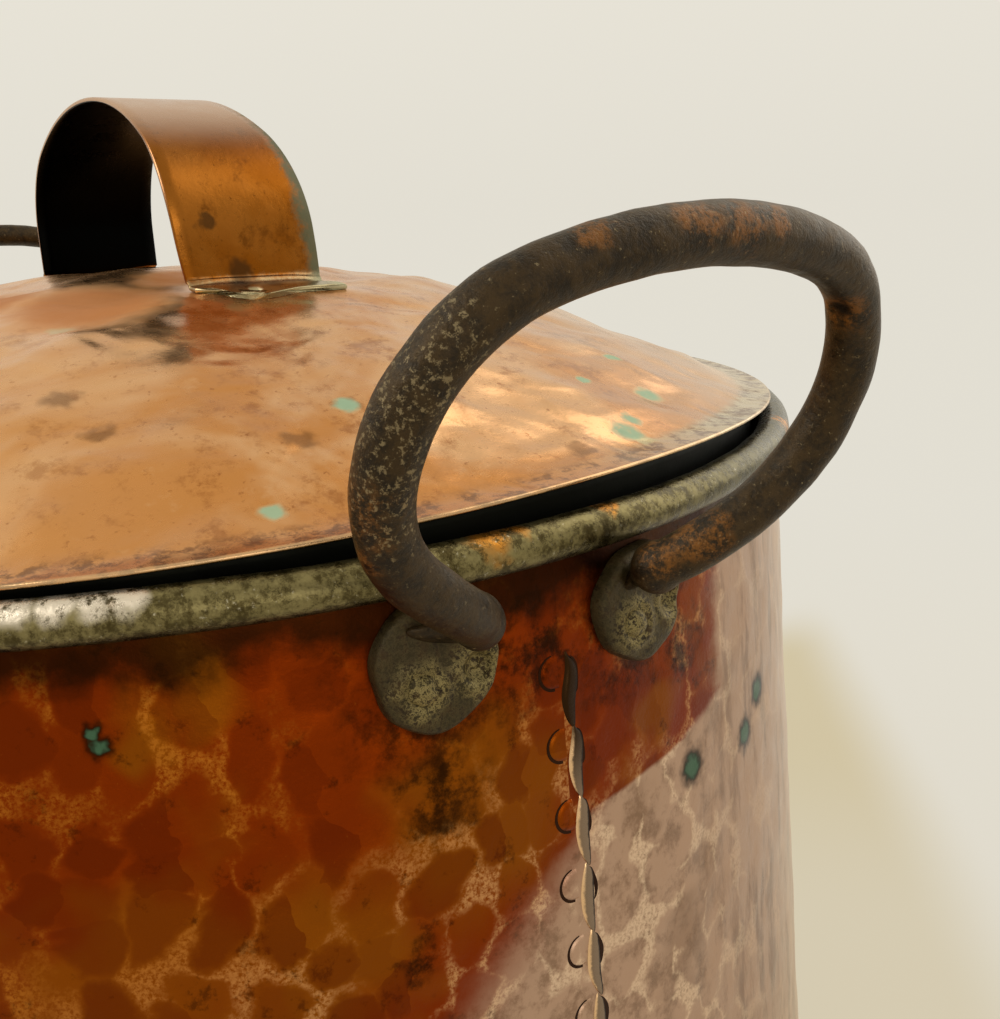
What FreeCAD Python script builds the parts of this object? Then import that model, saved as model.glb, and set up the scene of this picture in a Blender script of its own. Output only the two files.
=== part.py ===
import FreeCAD, Part

import math
import os
from dataclasses import dataclass

from FreeCAD import Vector

# Copper cooking pot with a rolled rim, two riveted iron loop handles and a loose domed lid.
# Millimetres, +Z up. The origin is the centre of the base on the surface that the pot stands on.
# +X runs through the middle of the right handle, and angles turn from +X towards +Y.

# Rim: the wall's top edge is rolled outward and under, and hammered round in flats
RIM_R = 225.0  # radius of the circle that the bead's centre follows
RIM_Z = 345.0  # height of the bead's centre
BEAD_D = 10.7
ROLL_END_DEG = -95.0  # where the sheet's edge is tucked in, seen along the bead
ROLL_FLAT_COUNT = 6

# Wall: one sheet, necked in under the bead and flaring gently down to the base
WALL_SHEET = 1.5
NECK_DROP = 16.0  # from the bead's centre down to where the neck meets the wall
NECK_SET = 1.6  # how far the wall's outside stands out from the bead's centre there
WALL_FLARE = 19.6  # growth of the outside radius from the neck down to the foot

# Base: a dish brazed outside the wall's lower edge
BASE_SHEET = 2.0
BASE_CORNER_R = 30.0
BASE_CORNER_FLAT_COUNT = 3
BASE_LAP = 14.0
BASE_CLEAR = 2.0  # from the top of the corner's curve to the wall's lower edge
BRAZE_GAP = 0.1

# Seam: tongues of one edge lie over the other edge, and leaf-shaped cramps lock them
SEAM_DEG = 1.0
SEAM_LEAN_DEG = 1.7
SEAM_TOP_DROP = 32.5  # first cramp, below the bead's centre
SEAM_PITCH = 19.2
TONGUE_REACH = 7.4
TONGUE_HEIGHT = 8.6
TONGUE_RISE = 0.5
TONGUE_END_FLAT_COUNT = 3  # a tongue's half-round end is chiselled in flats
LEAF_LENGTH = 17.0
LEAF_WIDTH = 3.2
LEAF_RISE = 0.9
SEAM_ROOT = 0.7  # how deep the cramps are sunk in the wall

# Handles: a round rod bent to a flat-topped oval loop that leans outward
ROD_D = 12.2
ROD_FLAT_COUNT = 10  # the rod is forged round in flats
ROD_STEP_DEG = 15.0  # the most that it turns between two of them along its length
LOOP_HALF_WIDTH = 60.8
LOOP_SIDE_R = 36.4
LOOP_TOP_R = 118.0
LOOP_OUT = 37.3  # the loop's middle, outward from the bead's centre
LOOP_UP = 33.3  # and above it
LOOP_LEAN_DEG = 21.7
LOOP_LEAVE_DEG = 50.0  # below the middle, where the rod leaves the oval for the knee
KNEE_HALF_GAP = 26.1
KNEE_OUT = 11.6
KNEE_DROP = 9.5
KNEE_D = 13.4
PAD_D = 32.0
PAD_THICKNESS = 4.4
PAD_HALF_GAP = 30.7
PAD_DROP = 21.8
PAD_SEAT_GAP = 0.1
NECK_INSET = 4.5  # from the pad's edge in to the edge of the flattened neck that runs into it
NECK_THICKNESS = 6.0
NECK_FOOT_RISE = 3.0  # above the pad's middle

# Handle rivets: in each pad one stands proud and one lies sunk in a pit
RIVET_D = 5.0
RIVET_CLEAR = 0.1
RIVET_CROWN = 0.5  # a head's flat crown, as a part of its width
RIVET_FLAT_COUNT = 8  # rivets are hammered and their holes punched in flats
RIVET_HEAD_D = 8.0
RIVET_HEAD_H = 1.7
RIVET_TAIL_D = 9.0
RIVET_TAIL_H = 1.8
RIVET_ALONG = -0.27  # along the wall from the pad's middle, as a part of the pad's radius
RIVET_DOWN = 0.24
PIT_ALONG = 0.6
PIT_DOWN = 0.1
PIT_D = 8.4
PIT_DEPTH = 1.6
PIT_SINK = 2.2  # from the pad's face down to the worn rivet

# Lid: a domed sheet with a flat brim that rests on the bead
LID_SHEET = 1.2
LID_OVERHANG = -1.0  # brim's edge, outward from the bead's centre
LID_SEAT_GAP = 0.05
BRIM_WIDTH = 9.4
DOME_HEIGHT = 52.0
DOME_POWER = 2.1
SPRING_RISE = 6.8  # the brim is sprung up off the bead at the front right
SPRING_DEG = 12.0
SPRING_SPREAD_DEG = 36.0
SPRING_POWER = 3.0  # how fast the lift dies away towards the lid's middle
FLANGE_SHEET = 1.2
FLANGE_DEPTH = 20.0
FLANGE_MOUTH_GAP = 2.2
FLANGE_BRAZE_GAP = 0.05

# Lid strap: a wide arch of sheet whose feet are turned outward
STRAP_SHEET = 1.6
STRAP_SPAN = 140.4
STRAP_RISE = 65.0
STRAP_BEND_R = 38.0  # of each shoulder
STRAP_CROWN_R = 100.0
STRAP_WIDTH = 48.9
STRAP_WAIST = 9.0  # cut away from one edge at the crown
STRAP_WAIST_EARLY = 0.55  # how much of that is gone at half the height
STRAP_TURN_DEG = 3.7
STRAP_FOOT = 18.0
STRAP_SEAT_GAP = 0.05
STRAP_RIVET_D = 3.5
STRAP_RIVET_CLEAR = 0.1
STRAP_RIVET_HEAD_D = 6.4
STRAP_RIVET_HEAD_H = 1.2
STRAP_RIVET_OUT = 9.0  # from the foot's bend
STRAP_RIVET_SHIFT = 6.0  # along the foot from its middle
STRAP_RIVET_SEAT = 0.05  # under a head

# Grid that carries the lid's hammered sheet
LID_GRID_COUNT = 18
LID_GRID_MARGIN = 16.0

# Worked out from the sizes above
BEAD_R = BEAD_D / 2
ROLL_INNER_R = BEAD_R - WALL_SHEET
WALL_TOP_Z = RIM_Z - NECK_DROP
WALL_TOP_R = RIM_R + NECK_SET
WALL_FOOT_Z = BASE_CORNER_R + BASE_CLEAR
WALL_FOOT_R = WALL_TOP_R + WALL_FLARE
LAP_TOP_Z = WALL_FOOT_Z + BASE_LAP
LID_R = RIM_R + LID_OVERHANG
DOME_R = LID_R - BRIM_WIDTH
BRIM_Z = RIM_Z + BEAD_R + LID_SEAT_GAP  # underside of the brim
FLANGE_R = RIM_R - BEAD_R - FLANGE_MOUTH_GAP
NECK_WIDTH = PAD_D - 2 * NECK_INSET
LID_CORE_DEPTH = 2 * (DOME_HEIGHT + FLANGE_DEPTH)  # enough to reach under the whole lid

Z_AXIS = Vector(0, 0, 1)
ORIGIN = Vector(0, 0, 0)
FLAT_TOLERANCE = 1e-7  # how far a flat's corner may lie off its plane


def turned(shape, degrees):
    """The shape turned about the pot's axis."""
    copy = shape.copy()
    copy.rotate(ORIGIN, Z_AXIS, degrees)
    return copy


def moved(shape, vector):
    """A copy of the shape, moved."""
    copy = shape.copy()
    copy.translate(vector)
    return copy


def at_angle(radius, height, degrees):
    """A point at a radius and height, turned about the pot's axis."""
    angle = math.radians(degrees)
    return Vector(radius * math.cos(angle), radius * math.sin(angle), height)


def revolved(edges, degrees=360.0):
    """A solid of revolution from a closed outline in the XZ plane."""
    return Part.Face(Part.Wire(edges)).revolve(ORIGIN, Z_AXIS, degrees)


def polygon(points):
    """Straight edges through the points and back to the first."""
    return [Part.makeLine(a, b) for a, b in zip(points, points[1:] + points[:1])]


def ring(centre, across, upright, half_width, half_height, count):
    """Corners of equal flats round a centre, with the area of the ellipse that they stand for."""
    scale = math.sqrt(2 * math.pi / count / math.sin(2 * math.pi / count))
    angles = [math.pi * (2 * i + 1) / count for i in range(count)]
    return [
        centre + across * (half_width * scale * math.cos(a)) + upright * (half_height * scale * math.sin(a))
        for a in angles
    ]


def forged(rings):
    """A solid whose flats run from each ring of corners to the next, closed at both ends."""
    outlines = [rings[0], rings[-1]]
    for low, high in zip(rings, rings[1:]):
        for i, corner in enumerate(low):
            quad = [corner, low[i - 1], high[i - 1], high[i]]
            normal = (quad[1] - quad[0]).cross(quad[2] - quad[0]).normalize()
            if abs(normal.dot(quad[3] - quad[0])) < FLAT_TOLERANCE:
                outlines.append(quad)
            else:
                outlines += [quad[:3], [quad[0], quad[2], quad[3]]]
    faces = [Part.Face(Part.makePolygon(points + points[:1])) for points in outlines]
    solid = Part.Solid(Part.Shell(faces))
    if solid.Volume < 0:
        solid.reverse()
    return solid


def turned_bar(start, along, steps):
    """A straight forged bar from a start, given as pairs of the way along it and the width there."""
    side = along.cross(Z_AXIS if abs(along.z) < 0.5 * along.Length else Vector(0, 1, 0)).normalize()
    axis = Vector(along).normalize()
    upright, flats = axis.cross(side), RIVET_FLAT_COUNT
    rings = [ring(start + axis * way, side, upright, width / 2, width / 2, flats) for way, width in steps]
    return forged(rings)


@dataclass(frozen=True)
class WallSide:
    """The straight side that the wall's outside follows, in a plane through the pot's axis."""

    top_r: float
    top_z: float
    foot_r: float
    foot_z: float

    @property
    def slope(self):
        """Growth of the radius for each millimetre down."""
        return (self.foot_r - self.top_r) / (self.top_z - self.foot_z)

    def at(self, height, offset=0.0):
        """Radius of the wall's outside at a height, moved square to the wall by an offset."""
        return self.top_r + (self.top_z - height) * self.slope + offset * math.hypot(1, self.slope)

    def point(self, height, offset=0.0):
        """A point on the offset side at a height."""
        return Vector(self.at(height, offset), 0, height)

    def band(self, low, high, inside, outside, degrees=360.0):
        """A shell that follows the wall, between two offsets and two heights."""
        corners = [(low, outside), (high, outside), (high, inside), (low, inside)]
        return revolved(polygon([self.point(*corner) for corner in corners]), degrees)


WALL = WallSide(WALL_TOP_R, WALL_TOP_Z, WALL_FOOT_R, WALL_FOOT_Z)


def crossing(point_a, along_a, point_b, along_b):
    """Where two lines in the XZ plane cross."""
    gap = point_b - point_a
    scale = along_a.x * along_b.z - along_a.z * along_b.x
    step = (gap.x * along_b.z - gap.z * along_b.x) / scale
    return point_a + along_a * step


def rolled_wall():
    """The sheet from its foot up to the neck and round the roll, before the seam is added."""
    centre = Vector(RIM_R, 0, RIM_Z)
    neck = WALL.point(WALL_TOP_Z)
    reach = neck - centre
    roll_start = math.atan2(reach.z, reach.x) - math.acos(ROLL_INNER_R / reach.Length)
    roll_turn = 2 * math.pi + roll_start - math.radians(ROLL_END_DEG)
    angles = [roll_start - roll_turn * i / ROLL_FLAT_COUNT for i in range(ROLL_FLAT_COUNT + 1)]

    def on_roll(radius):
        return [centre + Vector(math.cos(a), 0, math.sin(a)) * radius for a in angles]

    outside, inside = on_roll(BEAD_R), on_roll(ROLL_INNER_R)
    inner_top = WALL.point(WALL_TOP_Z, -WALL_SHEET)
    inner_foot = WALL.point(WALL_FOOT_Z, -WALL_SHEET)
    neck_inside = crossing(outside[0], neck - inside[0], inner_top, inner_top - inner_foot)
    outline = [WALL.point(WALL_FOOT_Z), neck] + inside + outside[::-1] + [neck_inside, inner_foot]
    return revolved(polygon(outline))


def tongue_outline(height):
    """A tongue that reaches from the seam line to a blunt rounded end."""
    half = TONGUE_HEIGHT / 2
    angles = [math.pi * i / TONGUE_END_FLAT_COUNT for i in range(TONGUE_END_FLAT_COUNT + 1)]
    end = [Vector(0, half - TONGUE_REACH - half * math.sin(a), height + half * math.cos(a)) for a in angles]
    return polygon([Vector(0, 0, height + half)] + end + [Vector(0, 0, height - half)])


def leaf_outline(height):
    """A leaf-shaped cramp that hangs down beside the seam line."""
    top = Vector(0, 0, height)
    foot = Vector(0, LEAF_WIDTH / 2, height - LEAF_LENGTH)
    middle = (top + foot) / 2
    left, right = middle - Vector(0, LEAF_WIDTH / 2, 0), middle + Vector(0, LEAF_WIDTH / 2, 0)
    return [Part.Arc(top, left, foot).toShape(), Part.Arc(foot, right, top).toShape()]


def seam_pieces(outline, heights, rise):
    """Like outlines, raised on the wall's outside along the leaning seam line."""
    tilt = math.degrees(math.atan(WALL.slope))
    pieces = []
    for height in heights:
        piece = Part.Face(Part.Wire(outline(0.0))).extrude(Vector(SEAM_ROOT + rise, 0, 0))
        piece.rotate(ORIGIN, Vector(1, 0, 0), SEAM_LEAN_DEG)
        piece.rotate(ORIGIN, Vector(0, 1, 0), -tilt)
        along = (RIM_Z - height) * math.tan(math.radians(SEAM_LEAN_DEG))
        place = Vector(WALL.at(height, -SEAM_ROOT), 0, height)
        pieces.append(turned(moved(piece, place), SEAM_DEG + math.degrees(along / place.x)))
    return pieces


def seam_heights():
    """Heights of the cramps, from under the neck down to the base's lap."""
    top, lowest = RIM_Z - SEAM_TOP_DROP, LAP_TOP_Z + LEAF_LENGTH
    count = int((top - lowest) / SEAM_PITCH) + 1
    return [top - SEAM_PITCH * i for i in range(count)]


def pot_wall():
    """The wall with its bead, its seam and the holes for the handle rivets."""
    heights = seam_heights()
    leaves = seam_pieces(leaf_outline, heights, LEAF_RISE)
    tongues = seam_pieces(tongue_outline, heights, TONGUE_RISE)
    wall = rolled_wall().fuse(tongues).fuse(leaves)
    holes = [place.bore() for place in rivet_places()]
    return wall.cut(holes + [turned(hole, 180) for hole in holes])


def dish(offset):
    """The base's form as a solid, moved inward from its outside by an offset."""
    wall_side = BRAZE_GAP + BASE_SHEET
    centre = Vector(WALL.at(BASE_CORNER_R, wall_side - BASE_CORNER_R), 0, BASE_CORNER_R)
    turn = math.pi / 2 + math.atan(WALL.slope)
    angles = [turn * i / BASE_CORNER_FLAT_COUNT - math.pi / 2 for i in range(BASE_CORNER_FLAT_COUNT + 1)]
    radius = BASE_CORNER_R - offset
    corner = [centre + Vector(math.cos(a), 0, math.sin(a)) * radius for a in angles]
    top = [WALL.point(LAP_TOP_Z, wall_side - offset), Vector(0, 0, LAP_TOP_Z)]
    return revolved(polygon([Vector(0, 0, offset)] + corner + top))


def pot_base():
    """The dished bottom."""
    return dish(0.0).cut(dish(BASE_SHEET))


@dataclass(frozen=True)
class Station:
    """A place along the forged bar: its centre, its heading and half its thickness and width."""

    centre: Vector
    heading: Vector
    half_thickness: float = ROD_D / 2
    half_width: float = ROD_D / 2

    def section(self, facing):
        """The bar's outline here, with its thickness along the facing."""
        across = (facing - self.heading * facing.dot(self.heading)).normalize()
        broad = self.heading.cross(across)
        return ring(self.centre, across, broad, self.half_thickness, self.half_width, ROD_FLAT_COUNT)

    def mirrored(self):
        """The same place on the other side of the handle, for a bar that runs the other way."""
        centre, back = Vector(self.centre), self.heading * -1
        centre.y, back.y = -centre.y, -back.y
        return Station(centre, back, self.half_thickness, self.half_width)


def bend(start, end):
    """Stations along the arc that leaves one by its heading and reaches a point."""
    chord = end - start.centre
    inward = (chord - start.heading * chord.dot(start.heading)).normalize()
    turn = 2 * math.atan2(chord.dot(inward), chord.dot(start.heading))
    radius = chord.Length / (2 * math.sin(turn / 2))
    steps = math.ceil(math.degrees(turn) / ROD_STEP_DEG)
    stations = []
    for angle in [turn * (i + 1) / steps for i in range(steps)]:
        away = start.heading * math.sin(angle) + inward * (1 - math.cos(angle))
        heading = start.heading * math.cos(angle) + inward * math.sin(angle)
        stations.append(Station(start.centre + away * radius, heading))
    return stations


def loop_facing():
    """Square to the plane in which the loop leans."""
    lean = math.radians(LOOP_LEAN_DEG)
    return Vector(math.cos(lean), 0, -math.sin(lean))


def half_bar():
    """The bar from the crown's middle round one side and over the knee, down into the pad."""
    facing = loop_facing()
    across, upward = Vector(0, 1, 0), facing.cross(Vector(0, 1, 0))
    middle = Vector(RIM_R + LOOP_OUT, 0, RIM_Z + LOOP_UP)
    side = LOOP_HALF_WIDTH - LOOP_SIDE_R
    top_drop = math.sqrt((LOOP_TOP_R - LOOP_SIDE_R) ** 2 - side**2)
    join, leave = math.atan2(top_drop, side), math.radians(-LOOP_LEAVE_DEG)

    def on_side(angle):
        out, up = LOOP_SIDE_R * math.cos(angle), LOOP_SIDE_R * math.sin(angle)
        return middle + across * (side + out) + upward * up

    stations = [Station(middle + upward * (LOOP_TOP_R - top_drop), across)]
    for point in (on_side(join), on_side(leave), knee_centre(1)):
        stations += bend(stations[-1], point)
    knee, foot = stations.pop(), neck_foot(1)
    down = (foot - knee.centre).normalize()
    turned_down = (knee.heading + down).normalize()
    stations.append(Station(knee.centre, turned_down, KNEE_D / 2, KNEE_D / 2))
    stations.append(Station(foot, down, NECK_THICKNESS / 2, NECK_WIDTH / 2))
    return stations


def bar():
    """The whole bar of the right handle, pad to pad."""
    half = half_bar()
    stations = [station.mirrored() for station in reversed(half[1:])] + half
    return forged([station.section(loop_facing()) for station in stations])


def knee_centre(sign):
    """Middle of the rod's knee on one side."""
    return Vector(RIM_R + KNEE_OUT, sign * KNEE_HALF_GAP, RIM_Z - KNEE_DROP)


def neck_foot(sign):
    """Where the flattened neck ends, inside the pad."""
    height = RIM_Z - PAD_DROP + NECK_FOOT_RISE
    return at_angle(WALL.at(height, PAD_SEAT_GAP + PAD_THICKNESS / 2), height, sign * pad_degrees())


def pad_degrees(shift=0.0):
    """Angle round the wall of a place on a pad, from the handle's middle."""
    return math.degrees((PAD_HALF_GAP + shift) / WALL.at(RIM_Z - PAD_DROP))


def pad(sign):
    """A round flattened end that lies on the wall."""
    middle_z = RIM_Z - PAD_DROP
    low, high = middle_z - PAD_D, middle_z + PAD_D
    spread = math.degrees(PAD_D / RIM_R)
    inside, outside = PAD_SEAT_GAP, PAD_SEAT_GAP + PAD_THICKNESS
    band = turned(WALL.band(low, high, inside, outside, 2 * spread), -spread)
    disc = Part.makeCylinder(PAD_D / 2, 2 * PAD_D, Vector(RIM_R - PAD_D, 0, middle_z), Vector(1, 0, 0))
    return turned(band.common(disc), sign * pad_degrees())


@dataclass(frozen=True)
class RivetPlace:
    """Where a handle rivet goes through a pad and the wall."""

    sign: int
    sunk: bool

    @property
    def height(self):
        """Height of the rivet's axis."""
        return RIM_Z - PAD_DROP - PAD_D / 2 * (PIT_DOWN if self.sunk else RIVET_DOWN)

    @property
    def degrees(self):
        """Angle of the rivet's axis from the handle's middle."""
        shift = PAD_D / 2 * (PIT_ALONG if self.sunk else RIVET_ALONG)
        return self.sign * pad_degrees(self.sign * shift)

    def radius(self, offset):
        """Radius at the rivet's height, moved outward from the wall's outside."""
        return WALL.at(self.height, offset)

    def bar(self, steps):
        """A bar on the rivet's axis, given as pairs of the radius round the pot and the width there."""
        start, outward = at_angle(0, self.height, self.degrees), at_angle(1, 0, self.degrees)
        return turned_bar(start, outward, steps)

    def bore(self):
        """The hole for the shank."""
        inside, outside = self.radius(-4 * WALL_SHEET), self.radius(2 * (PAD_SEAT_GAP + PAD_THICKNESS))
        return self.bar([(reach, RIVET_D + 2 * RIVET_CLEAR) for reach in (inside, outside)])

    def pit(self):
        """The eroded mouth round a sunk rivet."""
        face, narrow = self.radius(PAD_SEAT_GAP + PAD_THICKNESS), RIVET_D + 2 * RIVET_CLEAR
        return self.bar([(face - PIT_DEPTH, narrow), (face + PIT_DEPTH, 2 * PIT_D - narrow)])

    def rivet(self):
        """The rivet: a tail head inside the pot, the shank, and a head or a worn end."""
        face = self.radius(PAD_SEAT_GAP + PAD_THICKNESS)
        tail, head = self.radius(-WALL_SHEET) - self.seat(RIVET_TAIL_D), face + self.seat(0.0)
        steps = [(tail - RIVET_TAIL_H, RIVET_TAIL_D * RIVET_CROWN), (tail, RIVET_TAIL_D), (tail, RIVET_D)]
        if self.sunk:
            return self.bar(steps + [(face - PIT_SINK, RIVET_D)])
        crown = (head + RIVET_HEAD_H, RIVET_HEAD_D * RIVET_CROWN)
        return self.bar(steps + [(head, RIVET_D), (head, RIVET_HEAD_D), crown])

    def seat(self, width):
        """How far a flat head stands off a curved wall, with the wall's slope in it."""
        return width**2 / 8 / RIM_R + WALL.slope * max(width, RIVET_HEAD_D) / 2


def rivet_places():
    """The four rivets of the right handle."""
    return [RivetPlace(sign, sunk) for sign in (-1, 1) for sunk in (False, True)]


def handle():
    """The right handle, forged in one piece."""
    solid = bar().fuse([pad(-1), pad(1)])
    inside_wall = WALL.band(RIM_Z - PAD_DROP - PAD_D, RIM_Z, -RIM_R / 2, PAD_SEAT_GAP)
    cuts = [place.bore() for place in rivet_places()] + [p.pit() for p in rivet_places() if p.sunk]
    return solid.cut([inside_wall] + cuts)


def handle_rivets():
    """The right handle's rivets, as a group of separate solids."""
    return Part.makeCompound([place.rivet() for place in rivet_places()])


def spring(x, y):
    """How far the sprung brim lifts the lid's sheet at a place."""
    radius = math.hypot(x, y)
    if radius == 0:
        return 0.0
    away = math.degrees(math.atan2(y, x)) - SPRING_DEG
    away = (away + 180) % 360 - 180
    return SPRING_RISE * math.exp(-((away / SPRING_SPREAD_DEG) ** 2)) * (radius / LID_R) ** SPRING_POWER


def dome_top(x, y):
    """Height of the dome's upper face, carried on past its foot."""
    rise = DOME_HEIGHT * (1 - (math.hypot(x, y) / DOME_R) ** DOME_POWER)
    return BRIM_Z + LID_SHEET + rise + spring(x, y)


def brim_top(x, y):
    """Height of the brim's upper face, carried on under the dome."""
    return BRIM_Z + LID_SHEET + spring(x, y)


def below(surface, lift=0.0, depth=LID_CORE_DEPTH):
    """A solid that reaches down from a height field over the lid."""
    half = LID_R + LID_GRID_MARGIN
    step = 2 * half / LID_GRID_COUNT
    ticks = [-half + step * i for i in range(LID_GRID_COUNT + 1)]
    sheet = Part.BSplineSurface()
    sheet.interpolate([[surface(x, y) + lift for y in ticks] for x in ticks], -half, step, -half, step)
    return sheet.toShape().extrude(Vector(0, 0, -depth))


def lid_sheet():
    """Dome and brim: everything under the upper faces, less everything under the lower ones."""
    edge = Part.makeCylinder(LID_R, 2 * LID_CORE_DEPTH, Vector(0, 0, BRIM_Z - LID_CORE_DEPTH))
    upper = below(dome_top).fuse(below(brim_top)).common(edge)
    core = [below(surface, -LID_SHEET, 2 * LID_CORE_DEPTH) for surface in (dome_top, brim_top)]
    return upper.cut(core[0].fuse(core[1]))


def lid():
    """The lid's sheet with the holes for the strap's rivets."""
    return lid_sheet().cut([strap_rivet_bore(sign) for sign in (-1, 1)])


def lid_flange():
    """The band under the lid, trimmed to the lid's underside."""
    foot, height = Vector(0, 0, BRIM_Z - FLANGE_DEPTH), 2 * LID_CORE_DEPTH
    hollow = Part.makeCylinder(FLANGE_R - FLANGE_SHEET, height, foot)
    band = Part.makeCylinder(FLANGE_R, height, foot).cut(hollow)
    lift = -LID_SHEET - FLANGE_BRAZE_GAP
    return band.common(below(dome_top, lift).fuse(below(brim_top, lift)))


def strap_profile(inset, foot_z):
    """The arch's outline, moved inward: straight legs, a bend at each shoulder and a low crown."""
    half, rise = STRAP_SPAN / 2 - inset, STRAP_RISE - inset
    base = strap_foot_z()
    bend, crown = STRAP_BEND_R - inset, STRAP_CROWN_R - inset
    centre_z = base + rise - crown
    bend_x = half - bend
    bend_z = centre_z + math.sqrt((crown - bend) ** 2 - bend_x**2)
    join = math.atan2(bend_z - centre_z, bend_x)

    def on_bend(sign, angle):
        return Vector(sign * (bend_x + bend * math.cos(angle)), 0, bend_z + bend * math.sin(angle))

    low = [Vector(-half, 0, foot_z), Vector(half, 0, foot_z)]
    return [
        Part.makeLine(low[0], low[1]),
        Part.makeLine(low[1], on_bend(1, 0)),
        Part.Arc(on_bend(1, 0), on_bend(1, join / 2), on_bend(1, join)).toShape(),
        Part.Arc(on_bend(1, join), Vector(0, 0, base + rise), on_bend(-1, join)).toShape(),
        Part.Arc(on_bend(-1, join), on_bend(-1, join / 2), on_bend(-1, 0)).toShape(),
        Part.makeLine(on_bend(-1, 0), low[0]),
    ]


def strap_arch(inset, foot_z):
    """A solid under the strap's arch."""
    prism = Part.Face(Part.Wire(strap_profile(inset, foot_z))).extrude(Vector(0, STRAP_WIDTH, 0))
    return moved(prism, Vector(0, -STRAP_WIDTH / 2, 0))


def strap_waist():
    """What is cut from the strap's edge, more and more towards the crown."""
    base, edge = strap_foot_z(), STRAP_WIDTH / 2
    side = [
        Vector(0, edge + STRAP_WAIST, base),
        Vector(0, edge, base),
        Vector(0, edge - STRAP_WAIST, base + STRAP_RISE),
        Vector(0, edge - STRAP_WAIST, base + 2 * STRAP_RISE),
        Vector(0, edge + STRAP_WAIST, base + 2 * STRAP_RISE),
    ]
    middle = Vector(0, edge - STRAP_WAIST * STRAP_WAIST_EARLY, base + STRAP_RISE / 2)
    edges = polygon(side)
    edges[1] = Part.Arc(side[1], middle, side[2]).toShape()
    prism = Part.Face(Part.Wire(edges)).extrude(Vector(2 * STRAP_SPAN, 0, 0))
    return moved(prism, Vector(-STRAP_SPAN, 0, 0))


def strap_foot_z():
    """Height of the lid's upper face where the arch stands."""
    return dome_top(STRAP_SPAN / 2, 0)


def lid_strap():
    """The arch, its legs trimmed to the dome, and the two feet beaten to lie on it."""
    sunk = strap_foot_z() - 2 * STRAP_RIVET_HEAD_D
    arch = strap_arch(0.0, sunk).cut(strap_arch(STRAP_SHEET, sunk - STRAP_SHEET))
    arch = turned(arch.cut(strap_waist()), STRAP_TURN_DEG).cut(below(dome_top, STRAP_SEAT_GAP))
    under = below(dome_top, STRAP_SEAT_GAP, 2 * LID_CORE_DEPTH)
    skin = below(dome_top, STRAP_SEAT_GAP + STRAP_SHEET).cut(under)
    solid = arch
    for sign in (-1, 1):
        inner, outer = STRAP_SPAN / 2 - STRAP_SHEET, STRAP_SPAN / 2 + STRAP_FOOT
        box = Part.makeBox(outer - inner, STRAP_WIDTH, 2 * LID_CORE_DEPTH)
        box.translate(Vector(inner if sign > 0 else -outer, -STRAP_WIDTH / 2, BRIM_Z))
        solid = solid.fuse(skin.common(turned(box, STRAP_TURN_DEG)))
    return solid.cut([strap_rivet_bore(sign) for sign in (-1, 1)])


def strap_rivet_frame(sign):
    """A point on the lid's upper face under the rivet and the direction straight up from it."""
    out = sign * (STRAP_SPAN / 2 + STRAP_RIVET_OUT)
    place = Vector(out, -sign * STRAP_RIVET_SHIFT, 0)
    turn = math.radians(STRAP_TURN_DEG)
    x = place.x * math.cos(turn) - place.y * math.sin(turn)
    y = place.x * math.sin(turn) + place.y * math.cos(turn)
    step = 0.5
    slope_x = (dome_top(x + step, y) - dome_top(x - step, y)) / (2 * step)
    slope_y = (dome_top(x, y + step) - dome_top(x, y - step)) / (2 * step)
    return Vector(x, y, dome_top(x, y)), Vector(-slope_x, -slope_y, 1).normalize()


def strap_rivet_bore(sign):
    """The hole for a strap rivet through the foot and the lid."""
    point, up = strap_rivet_frame(sign)
    reach = 3 * (STRAP_SHEET + LID_SHEET)
    return turned_bar(point, up, [(way, STRAP_RIVET_D + 2 * STRAP_RIVET_CLEAR) for way in (-reach, reach)])


def strap_rivet(sign):
    """A small rivet with a low head on the foot and another under the lid."""
    point, up = strap_rivet_frame(sign)
    upper, lower = STRAP_SEAT_GAP + STRAP_SHEET + STRAP_RIVET_SEAT, -LID_SHEET - STRAP_RIVET_SEAT
    crown = STRAP_RIVET_HEAD_D * RIVET_CROWN
    under = [(lower - STRAP_RIVET_HEAD_H, crown), (lower, STRAP_RIVET_HEAD_D), (lower, STRAP_RIVET_D)]
    above = [(upper, STRAP_RIVET_D), (upper, STRAP_RIVET_HEAD_D), (upper + STRAP_RIVET_HEAD_H, crown)]
    return turned_bar(point, up, under + above)


def lid_strap_rivets():
    """One rivet in each foot, as a group of separate solids."""
    return Part.makeCompound([strap_rivet(sign) for sign in (-1, 1)])


def cleaned(shape):
    """The shape with its split faces joined."""
    return Part.makeCompound([solid.removeSplitter() for solid in shape.Solids])


def nodes():
    """Every piece of the pot by its node's name."""
    right, rivets = cleaned(handle()), cleaned(handle_rivets())
    return {
        "pot_wall": cleaned(pot_wall()),
        "pot_base": cleaned(pot_base()),
        "right_handle": right,
        "left_handle": turned(right, 180),
        "right_handle_rivets": rivets,
        "left_handle_rivets": turned(rivets, 180),
        "lid": cleaned(lid()),
        "lid_flange": cleaned(lid_flange()),
        "lid_strap": cleaned(lid_strap()),
        "lid_strap_rivets": cleaned(lid_strap_rivets()),
    }


def main():
    """Writes one STEP file for each piece."""
    os.makedirs("parts", exist_ok=True)
    for name, shape in nodes().items():
        piece = shape.Solids[0] if len(shape.Solids) == 1 else shape
        box = piece.BoundBox
        size = f"{box.XLength:.1f} x {box.YLength:.1f} x {box.ZLength:.1f} mm"
        print(f"{name}: {len(piece.Solids)} solid, valid {piece.isValid()}, {piece.Volume / 1000:.1f} cm3")
        print(f"    {size}, from z {box.ZMin:.2f} to {box.ZMax:.2f}")
        piece.exportStep(f"parts/{name}.step")


main()
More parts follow.
